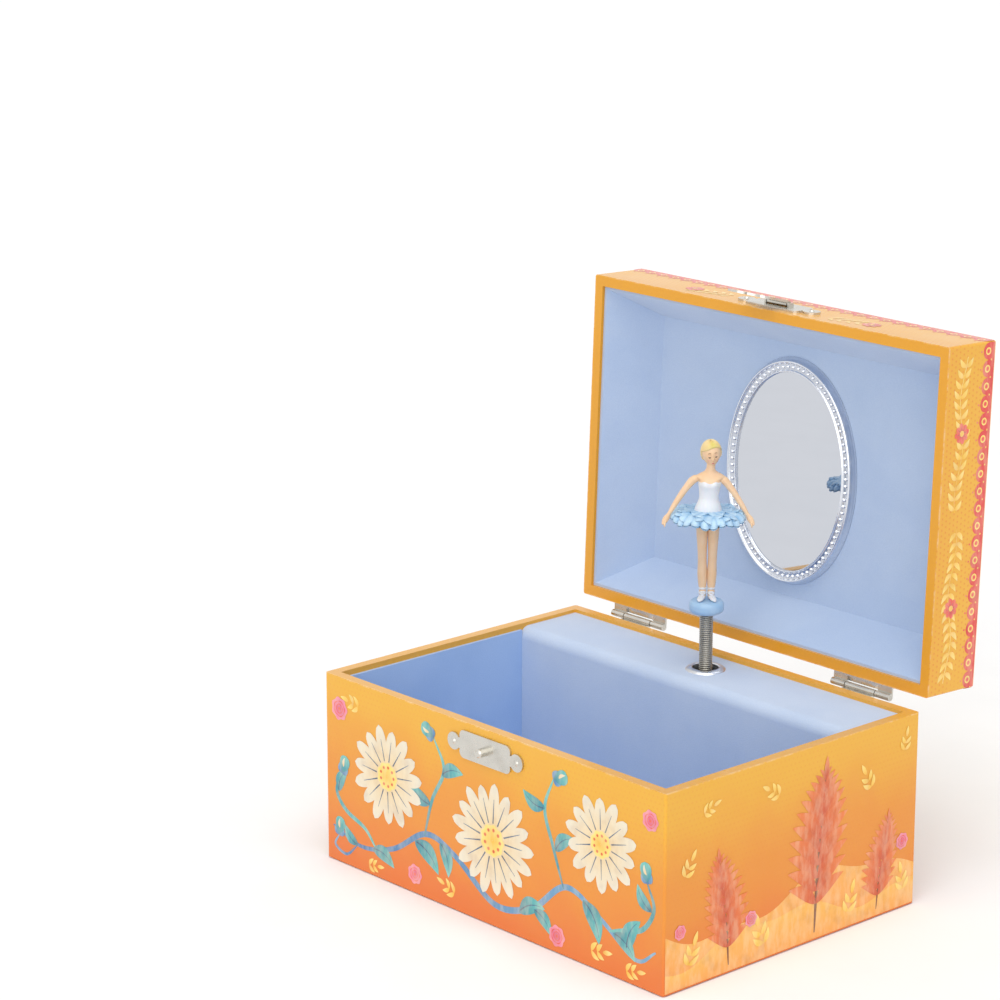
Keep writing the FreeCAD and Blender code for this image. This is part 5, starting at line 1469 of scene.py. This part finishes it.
@dataclass
class Dancer:
    """The painted dancer in its own frame: right, forward and up from the disc's top."""

    x: float = 0.0
    y: float = 42.4
    z: float = 91.2
    disc_radius: float = 6.05
    disc_thick: float = 4.7
    disc_edge: float = 1.9
    turn: float = 46.0
    head_turn: float = 9.0
    head_nod: float = 10.0
    head_lean: float = 6.0
    head_at: tuple[float, float, float] = (0.7, 0.5, 52.1)
    head_wide: float = 3.2
    head_deep: float = 3.6
    head_high: float = 4.1
    head_low: float = 4.9
    eye: float = 21.0
    ear_at: tuple[float, float, float] = (2.95, -0.35, -0.6)
    ear_size: tuple[float, float, float] = (0.4, 0.72, 1.05)
    bun_at: tuple[float, float, float] = (0.0, -3.6, 1.1)
    bun_radius: float = 1.75
    bun_flat: float = 0.8
    bun_strand: float = 0.12
    bodice_top: float = 42.0
    bodice_hem: float = 31.0
    ankle: tuple[float, float] = (1.46, -0.1)
    ankle_size: tuple[float, float] = (1.24, 1.28)
    ribbon_thick: float = 0.11
    ribbon_wide: float = 0.33
    bust: float = 0.75
    bust_level: float = 41.1
    skin: Colour = tone(237, 198, 156)
    blush: Colour = tone(238, 160, 130)
    lips: Colour = tone(206, 92, 88)
    lip_line: Colour = tone(150, 52, 56)
    lash: Colour = tone(84, 56, 48)
    brow: Colour = tone(140, 86, 58)
    white: Colour = tone(231, 232, 236)
    hair: Colour = tone(240, 216, 158)
    # Painted shade: the hair's colour in the grooves between strands and windings.
    hair_painted_shade: Colour = tone(214, 178, 112)
    hair_top: Colour = tone(226, 212, 84)
    # Painted light and shade of the tutu's one blue: paler where light falls, deeper in the folds and
    # underneath.
    blue_painted_light: Colour = tone(188, 219, 240)
    blue_painted_shade: Colour = tone(118, 172, 214)
    leg: Knots = (
        (0.0, 1.42, -0.15, 1.2, 1.05, 1.05), (0.08, 1.45, -0.1, 2.6, 1.12, 1.16),
        (0.26, 1.62, -0.45, 8.6, 1.66, 1.80), (0.42, 1.72, -0.15, 13.6, 1.52, 1.60),
        (0.50, 1.76, 0.1, 16.0, 1.55, 1.62), (0.75, 1.92, 0.1, 23.5, 1.92, 2.0),
        (1.0, 2.05, 0.0, 31.0, 2.1, 2.2))
    shoe: Knots = (
        (0.0, 0.98, -1.75, 0.95, 0.25, 0.25), (0.1, 1.05, -1.55, 1.0, 0.78, 0.72),
        (0.35, 1.4, -0.4, 1.1, 1.08, 1.02), (0.65, 1.95, 1.5, 0.92, 1.14, 0.84),
        (0.9, 2.55, 3.3, 0.62, 0.82, 0.54), (1.0, 2.85, 4.15, 0.48, 0.25, 0.25))
    ribbons: tuple[tuple[float, float], ...] = ((0.75, 2.2), (-0.75, 2.9), (0.65, 3.6), (-0.2, 4.3))
    arm: Knots = (
        (0.0, 3.2, -0.1, 43.0, 1.1, 1.1), (0.12, 5.0, 0.0, 42.4, 1.34, 1.36),
        (0.3, 7.5, 0.2, 39.6, 1.18, 1.2), (0.48, 9.7, 0.5, 36.4, 1.04, 1.06),
        (0.68, 12.0, 1.2, 32.8, 0.88, 0.92), (0.80, 13.4, 1.8, 30.5, 0.72, 0.76),
        (0.87, 14.1, 2.1, 29.4, 1.02, 0.64), (0.94, 14.9, 2.5, 28.2, 0.88, 0.5),
        (1.0, 15.5, 2.9, 27.2, 0.32, 0.24))
    thumb: Knots = (
        (0.0, 14.5, 2.7, 28.2, 0.32, 0.32), (0.5, 14.75, 3.35, 27.3, 0.34, 0.34),
        (1.0, 14.9, 3.6, 26.5, 0.14, 0.14))
    trunk: Knots = (
        (27.5, 3.9, 3.4, 0.0, 0.0), (30.0, 4.3, 3.7, -0.1, 0.0), (31.5, 4.45, 3.8, -0.1, 0.0),
        (33.5, 3.85, 3.3, 0.0, 0.05), (35.8, 3.0, 2.65, 0.1, 0.15), (38.5, 3.15, 2.8, 0.2, 0.3),
        (41.0, 3.6, 3.2, 0.35, 0.4), (42.6, 4.0, 3.0, 0.25, 0.45), (43.5, 5.0, 2.5, 0.0, 0.5),
        (44.4, 3.8, 2.2, -0.1, 0.5), (45.2, 2.3, 1.9, -0.05, 0.55), (46.1, 1.62, 1.7, 0.05, 0.6),
        (47.5, 1.5, 1.6, 0.2, 0.75), (49.5, 1.55, 1.7, 0.3, 0.9))
    tutu: tuple[Ruffle, ...] = (
        Ruffle(24, 12.9, 28.7, 30.3, 2.2, 0.5, 0.0), Ruffle(21, 12.3, 30.2, 30.8, 1.5, 0.8, 0.7),
        Ruffle(18, 10.6, 31.2, 31.1, 1.3, 0.7, 0.2), Ruffle(14, 8.2, 31.7, 31.3, 1.1, 0.5, 1.3))

    def set_down(self, local: Array) -> Array:
        """Turns (right, forward, up) points into the box's frame.

        Args:
            local: points in the dancer's frame.

        Returns:
            The points in mm.
        """
        c, s = heading(self.turn)
        right, forward, up = np.moveaxis(local, -1, 0)
        return spread(self.x + right * c + forward * s, self.y + right * s - forward * c, self.z + up)

    def put(self, shell: Shell, local: Array, ink: Any = (1, 1, 1), hoop: bool = False) -> None:
        """Adds a closed form to a piece: a stack of rings with its ends shut, or a hoop."""
        shell.patch(self.set_down(local), ink, round_u=hoop, round_v=True, ends=not hoop)

    def limb(self, shell: Shell, knots: Knots, side: int, hint: Sequence[float], ink: Colour, rows: int,
             sides: int = 24) -> None:
        """Carries an oval along knots of share, right, forward, up and two radii, and shuts its ends."""
        line = through(knots, np.linspace(0, 1, rows))
        self.put(shell, tube(line[:, :3] * (side, 1, 1), line[:, 3:], sides, hint), ink)

    def torso(self, at: Array, angle: Array, swell: float) -> Array:
        """Trunk as stacked ovals: half width and depth follow the height, with a bust of two humps in front.

        Args:
            at: heights, at each angle.
            angle: angles, 0 to the right, a quarter turn in front.
            swell: how far it stands off the body.

        Returns:
            Points in the dancer's frame.
        """
        wide, deep, ahead, aside = np.moveaxis(through(self.trunk, at), -1, 0)
        front = np.maximum(np.sin(angle), 0.0)
        bust = self.bust * front * hump(np.abs(np.cos(angle)), 0.52, 0.30) * hump(at, self.bust_level, 1.5)
        right, forward = (wide + swell) * np.cos(angle), (deep + swell + bust) * np.sin(angle)
        return spread(right + aside, forward + ahead, at)

    def head_place(self, local: Array) -> Array:
        """Leans, nods and turns points of the head and sets them on the neck.

        Args:
            local: points about the head's middle.

        Returns:
            Points in the dancer's frame.
        """
        lean, nod, turn = (math.radians(angle) for angle in (self.head_lean, self.head_nod, self.head_turn))
        x, y, z = np.moveaxis(local, -1, 0)
        x, z = x * math.cos(lean) - z * math.sin(lean), x * math.sin(lean) + z * math.cos(lean)
        y, z = y * math.cos(nod) + z * math.sin(nod), -y * math.sin(nod) + z * math.cos(nod)
        x, y = x * math.cos(turn) + y * math.sin(turn), -x * math.sin(turn) + y * math.cos(turn)
        return spread(x, y, z) + np.asarray(self.head_at)

    def head_form(self, side: Array, rise: Array) -> Array:
        """Head as an oval ball, narrowed to the chin, with the features as soft humps of the two angles.

        Args:
            side: angle from the face's middle line, positive to the right.
            rise: angle above the level of the eyes' corners.

        Returns:
            Points about the head's middle.
        """
        s, r = np.degrees(side), np.degrees(rise)
        out = np.abs(s)
        front = np.maximum(np.cos(side), 0.0)
        jaw = 1 - 0.26 * ease(-r, 4, 62) * (0.45 + 0.55 * front)
        tall = np.where(rise > 0, self.head_high, self.head_low)
        oval = spread(self.head_wide * jaw * np.cos(rise) * np.sin(side),
                      self.head_deep * np.cos(rise) * np.cos(side), tall * np.sin(rise))
        nose = 0.62 * hump(s, 0, 6.5) * hump(r, -14, 7.5) + 0.22 * hump(s, 0, 4.5) * hump(r, 2, 11)
        hollow = 0.34 * hump(out, self.eye, 9) * hump(r, 1, 6.5)
        eyelid = 0.18 * hump(out, self.eye, 7) * hump(r, -0.5, 4.5)
        mouth = 0.24 * hump(s, 0, 10) * hump(r, -36, 3.6) - 0.10 * hump(s, 0, 12) * hump(r, -43, 3.5)
        chin = 0.30 * hump(s, 0, 13) * hump(r, -56, 9)
        cheek = 0.14 * hump(out, 34, 13) * hump(r, -17, 11)
        return thicken(oval, (nose - hollow + eyelid + mouth + chin + cheek) * front)

    def head_paint(self, side: Array, rise: Array) -> Array:
        """Paints the face: blush, lips, lowered lashes, brows and nostrils as soft bands of the two angles.

        Args:
            side: angle from the face's middle line.
            rise: angle above the eyes.

        Returns:
            Colour at each point.
        """
        s, r = np.degrees(side), np.degrees(rise)
        out = np.abs(s)
        off_eye = out - self.eye
        bow = -33.0 + 1.2 * hump(out, 3.2, 2.6) - 0.035 * out
        mouth = ease(13.0 - out, 0, 3.0)
        lip = mouth * ease(bow - r, -0.6, 0.6) * ease(r + 41.0 - 0.022 * s**2, -0.7, 0.7)
        droop = -4.6 - 1.6 * (1 - (off_eye / 9.0) ** 2)
        arch = 14.6 - 3.4 * ((off_eye + 1.5) / 10.5) ** 2
        paint: Any = self.skin
        for share, colour in (
                (0.42 * hump(out, 33, 12) * hump(r, -22, 9), self.blush),
                (0.25 * hump(out, self.eye, 10) * hump(r, 4, 5), self.blush),
                (0.95 * lip, self.lips),
                (0.8 * mouth * hump(r, -36.4, 0.8), self.lip_line),
                (0.95 * ease(1.25 - (off_eye / 8.6) ** 2 - ((r - droop) / 3.0) ** 2, 0, 0.6), self.lash),
                (0.92 * ease(10.8 - np.abs(off_eye), 0, 3.0) * hump(r, arch, 2.0), self.brow),
                (0.45 * hump(out, 3.6, 1.5) * hump(r, -22.5, 1.1), self.blush)):
            paint = tint(paint, colour, share)
        return paint

    def hair_edge(self, side: Array) -> Array:
        """Hairline: height angle that the hair comes down to, swept across the brow and low behind.

        Args:
            side: angle from the face's middle line.

        Returns:
            The height angle in degrees.
        """
        s = np.degrees(side)
        out = np.abs(s)
        sweep = 33 + 5.0 * np.sin(np.radians(s * 2.2 + 20)) - 0.0065 * out**1.85
        behind = -38 - 8 * np.cos(side)
        fall = ease(out, 60, 104)
        return np.where(out < 88, np.maximum(sweep, behind), behind * fall + sweep * (1 - fall))

    def build_disc(self) -> None:
        """Turns the disc under the feet: a flat top and bottom joined by an edge of two quarter rounds."""
        quarter = np.linspace(0, math.pi / 2, 10)
        hub, edge = 0.4, self.disc_edge
        over = spread(self.disc_radius - edge * (1 - np.sin(quarter)), -edge * (1 - np.cos(quarter)))
        under = over[::-1] * (1, -1) - (0, self.disc_thick)
        profile = np.vstack(((hub, 0.0), over, under, (hub, -self.disc_thick)))
        reach, rise = profile[:, :1], profile[:, 1:]
        angle = angles(96)[None]
        puck = Shell("dancer_puck")
        self.put(puck, spread(reach * np.cos(angle), reach * np.sin(angle), rise))
        puck.ride("dancer", DISC_BLUE, "disc_blue", "dancer_disc")

    def wrap_ribbons(self, shoes: Shell, side: int) -> None:
        """Winds flat ribbons round an ankle, each a tilted oval loop of a thin oval profile.

        Args:
            shoes: piece that they join.
            side: 1 for the ankle at the right, -1 for the left.
        """
        a = angles(48)
        b = angles(8)[None, :, None]
        ring = spread(np.cos(a), np.sin(a), 0.0)[:, None]
        middle = np.array((side * self.ankle[0], self.ankle[1], 0.0))
        for tilt, level in self.ribbons:
            loop = middle + ring * (*self.ankle_size, 0) + spread(0.0, 0.0, level + tilt * np.sin(a))[:, None]
            band = loop + self.ribbon_thick * np.cos(b) * ring + self.ribbon_wide * np.sin(b) * (0, 0, 1)
            self.put(shoes, band, self.white, hoop=True)

    def build_body(self) -> None:
        """Legs, arms, trunk and neck in one skin, with pumps and ribbons over the feet."""
        body = Shell("dancer_skin")
        shoes = Shell("dancer_pumps")
        for side in (-1, 1):
            self.limb(body, self.leg, side, (1, 0, 0), self.skin, rows=72)
            self.limb(body, self.arm, side, (side * 0.75, 0.2, -0.6), self.skin, rows=72)
            self.limb(body, self.thumb, side, (1, 0, 0), self.skin, rows=14, sides=12)
            self.limb(shoes, self.shoe, side, (1, -0.25, 0), self.white, rows=40)
            self.wrap_ribbons(shoes, side)
        rise = np.linspace(self.trunk[0][0], self.trunk[-1][0], 110)[:, None]
        rise, angle = np.broadcast_arrays(rise, angles(72)[None])
        self.put(body, self.torso(rise, angle, 0.0), self.skin)
        body.ride("dancer", FIGURE_PAINT, "figure_paint", "dancer_figure")
        shoes.ride("dancer", FIGURE_PAINT, "figure_paint")

    def build_bodice(self) -> None:
        """Pleated bodice with a heart-shaped top edge, lined so that it closes."""
        share, angle = np.broadcast_arrays(np.linspace(0, 1, 64)[:, None], angles(72)[None])
        front = np.maximum(np.sin(angle), 0.0)
        heart = self.bodice_top + front * (0.75 * hump(np.abs(np.cos(angle)), 0.5, 0.28) - 0.35)
        hem = self.bodice_hem - 1.1 * front**3
        at = hem + (heart - hem) * share
        pleat = 0.05 * np.cos(angle * 22) * np.sin(math.pi * share)
        coat = self.torso(at, angle, 0.30) + spread(pleat * np.cos(angle), pleat * np.sin(angle), 0.0)
        lining = self.torso(at[::-1], angle, -0.5)
        bodice = Shell("dancer_bodice")
        self.put(bodice, np.vstack((coat, lining)), self.white, hoop=True)
        bodice.ride("dancer", FIGURE_PAINT, "figure_paint")

    def build_head(self) -> None:
        """Head with its painted face and ears."""
        side, rise = ball(220, 150, 1.54)
        head = Shell("dancer_head")
        self.put(head, self.head_place(self.head_form(side, rise)), self.head_paint(side, rise))
        a, b = ball(24, 12, 1.45)
        round_ball = spread(np.cos(b) * np.cos(a), np.cos(b) * np.sin(a), np.sin(b))
        for way in (-1, 1):
            ear = (np.asarray(self.ear_at) + round_ball * self.ear_size) * (way, 1, 1)
            self.put(head, self.head_place(ear), self.skin)
        head.ride("dancer", FIGURE_PAINT, "figure_paint")

    def build_hair(self) -> None:
        """Swept cap of hair, raised off the head in strands above the hairline, and a wound bun, with painted
        shade in the grooves between the strands and the windings.
        """
        side, rise = ball(220, 150, 1.54)
        s, r = np.degrees(side), np.degrees(rise)
        edge = self.hair_edge(side)
        strand = 0.5 + 0.5 * np.cos((s * 0.55 + 26 * np.sin(rise * 1.3 + side * 0.5)) * 1.15)
        form = self.head_form(side, np.maximum(rise, np.radians(edge - 6)))
        cap = thicken(form, -0.45 + ease(r - edge, -1.5, 6.5) * (0.80 + 0.14 * strand))
        # Painted shade: the grooves between the raised strands are darker than the strands, in the hair's
        # colours and in the yellower patch at the top front.
        lit = np.asarray(self.hair_top) * (0.8 + 0.2 * strand[..., None])
        ink = tint(self.hair_painted_shade, self.hair, 0.25 + 0.75 * strand)
        hair = Shell("dancer_hair")
        self.put(hair, self.head_place(cap), tint(ink, lit, 0.85 * hump(s, 14, 42) * hump(r, 52, 26)))
        a, b = ball(72, 36, 1.5)
        wind = 0.5 + 0.5 * np.cos(5 * a + 4 * b)
        size = (self.bun_radius + self.bun_strand * wind)[..., None]
        bun = size * spread(np.cos(b) * np.cos(a), self.bun_flat * np.sin(b), np.cos(b) * np.sin(a))
        # Painted shade: the bun's grooves are darker than its windings.
        self.put(hair, self.head_place(bun + self.bun_at), tint(self.hair_painted_shade, self.hair, wind))
        hair.ride("dancer", FIGURE_PAINT, "figure_paint")

    def build_tutu(self) -> None:
        """Four thick ruffled layers, with painted light: paler on their lobes and upper faces, darker between
        the lobes, underneath and towards the waist.
        """
        run = np.linspace(0, 1, 26)
        share = np.concatenate((run, run[::-1]))[None]
        face = np.repeat((1.0, -1.0), len(run))[None]
        tutu = Shell("dancer_ruffles")
        for ruffle in self.tutu:
            points, pale = ruffle.form(angles(440)[:, None], share, face)
            self.put(tutu, points, tint(self.blue_painted_shade, self.blue_painted_light, pale), hoop=True)
        tutu.ride("dancer", TUTU_BLUE, "tutu_blue", "dancer_tutu")

    def build(self) -> None:
        """Builds the disc, the body, the bodice, the head, the hair and the tutu."""
        self.build_disc()
        self.build_body()
        self.build_bodice()
        self.build_head()
        self.build_hair()
        self.build_tutu()


@dataclass
class Fittings:
    """The solids that show as they are, and what covers each."""

    finishes: dict[str, Finish] = field(default_factory=lambda: {
        "base_wrap": BASE_PAPER, "lid_wrap": LID_PAPER, "underside_sheet": UNDER_PAPER,
        "movement_cover": DECK_FLOCK_PAINTED_LIGHT, "deck_eyelet": CHROME, "mirror_glass": MIRROR,
        "mirror_frame": FRAME_SILVER, "winding_key": NICKEL, "movement_frame": ZINC, "fly_fan": FAN_PLASTIC,
        "dancer_disc": DISC_BLUE, "dancer_spring": SPRING_STEEL, "dancer_figure": FIGURE_PAINT,
        "dancer_tutu": TUTU_BLUE, "spring_barrel": BRASS, "barrel_cap": BRASS, "pinned_cylinder": BRASS,
        "cylinder_pinion": BRASS, "dancer_hub": BRASS, "governor_wheel": BRASS})
    families: tuple[tuple[str, Finish], ...] = (
        ("_board", BOARD), ("tray_", TRAY_FLOCK), ("lid_liner", LID_FLOCK_PAINTED_LIGHT),
        ("hinge_", NICKEL), ("catch_", NICKEL), ("latch_", NICKEL))

    def build(self) -> None:
        """Dresses every node by its own finish, by its family's, or in steel."""
        for name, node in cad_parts.items():
            family = [finish for word, finish in self.families if word in name]
            finish = self.finishes.get(name) or (family[0] if family else STEEL)
            if not node.material_slots:
                node.data.materials.append(None)
            for entry in node.material_slots:
                entry.material = finish.material()
        log.info("%d nodes dressed", len(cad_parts))


@dataclass
class Studio:
    """Pale floor, two wide suns, a white surround and the camera at the photograph's angle."""

    camera_at: tuple[float, float, float] = (766.67, -746.99, 420.29)
    azimuth: float = 47.849
    pitch: float = 14.983
    lens: float = 120.5
    floor_half: float = 9.0
    floor_dull: float = 0.95
    floor_pale: float = 0.965
    ambient: float = 0.58

    def floor(self) -> None:
        """Lays a flat pale floor under the box."""
        side = np.linspace(-self.floor_half, self.floor_half, 3) / MM
        x, y = np.meshgrid(side, side, indexing="ij")
        shell = Shell("floor")
        shell.patch(np.stack((x, y, 0 * x - 0.02), -1), facing=(0, 0, 1))
        made = bpy.data.objects.new("floor", shell.mesh())
        bpy.context.scene.collection.objects.link(made)
        nodes = FinishNodes("floor_white")
        grain = nodes.span(nodes.noise(nodes.place(), 30.0, 2.0), 0.3, 0.7)
        paint = nodes.mix(grain, (self.floor_dull,) * 3, (self.floor_pale,) * 3)
        nodes.set(Base_Color=paint, Roughness=0.9, Specular_IOR_Level=0.0)
        made.data.materials.append(nodes.made)

    def surround(self) -> None:
        """White to the camera, to gloss and to glass, and a plain soft light to the rest."""
        world = bpy.data.worlds.new("surround")
        bpy.context.scene.world = world
        world.use_nodes = True
        tree = world.node_tree
        tree.nodes.clear()
        path = tree.nodes.new("ShaderNodeLightPath")
        seen: Socket = path.outputs["Is Camera Ray"]
        for ray in ("Is Glossy Ray", "Is Transmission Ray"):
            either = tree.nodes.new("ShaderNodeMath")
            either.operation = "MAXIMUM"
            tree.links.new(seen, either.inputs[0])
            tree.links.new(path.outputs[ray], either.inputs[1])
            seen = either.outputs[0]
        strength = tree.nodes.new("ShaderNodeMapRange")
        tree.links.new(seen, strength.inputs[0])
        strength.inputs[3].default_value = self.ambient
        strength.inputs[4].default_value = 1.0
        light = tree.nodes.new("ShaderNodeBackground")
        light.inputs["Color"].default_value = (1, 1, 1, 1)
        tree.links.new(strength.outputs[0], light.inputs["Strength"])
        end = tree.nodes.new("ShaderNodeOutputWorld")
        tree.links.new(light.outputs[0], end.inputs["Surface"])

    def sun(self, name: str, azimuth: float, height: float, strength: float, spread: float) -> None:
        """Lights the scene evenly from far away through a wide soft source.

        Args:
            name: its name.
            azimuth: direction that it stands in, in degrees from the front towards the right.
            height: its height above the floor in degrees.
            strength: light on a face square to it.
            spread: width of the source in degrees.
        """
        light = bpy.data.lights.new(name, "SUN")
        light.energy = strength
        light.angle = math.radians(spread)
        made = bpy.data.objects.new(name, light)
        made.rotation_euler = (math.radians(90.0 - height), 0, math.radians(azimuth))
        made.location = (0.0, 0.0, 2.0)
        bpy.context.scene.collection.objects.link(made)

    def camera(self) -> None:
        """Stands the camera at the fitted place, looking along the fitted angles."""
        data = bpy.data.cameras.new("camera")
        data.lens = self.lens
        data.sensor_width = 36.0
        data.clip_start, data.clip_end = 0.05, 50.0
        made = bpy.data.objects.new("camera", data)
        made.location = tuple(value * MM for value in self.camera_at)
        made.rotation_euler = (math.radians(90.0 - self.pitch), 0, math.radians(self.azimuth))
        bpy.context.scene.collection.objects.link(made)
        bpy.context.scene.camera = made

    def build(self) -> None:
        """Sets the whole studio."""
        bpy.context.scene.view_settings.view_transform = "Standard"
        self.camera()
        self.floor()
        self.surround()
        self.sun("front_sun", azimuth=33.0, height=16.0, strength=1.03, spread=60.0)
        self.sun("top_sun", azimuth=48.0, height=74.0, strength=1.34, spread=50.0)


def main() -> None:
    """Dresses the box and builds its new pieces and the studio."""
    logging.basicConfig(level=logging.INFO, format="%(name)s: %(message)s")
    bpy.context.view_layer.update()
    for assembly in (Fittings(), Print(), OvalMirror(), HingeWebs(), CoilSpring(), Dancer(), Studio()):
        assembly.build()
        log.info("%s done", type(assembly).__name__)


if __name__ == "__main__":
    main()
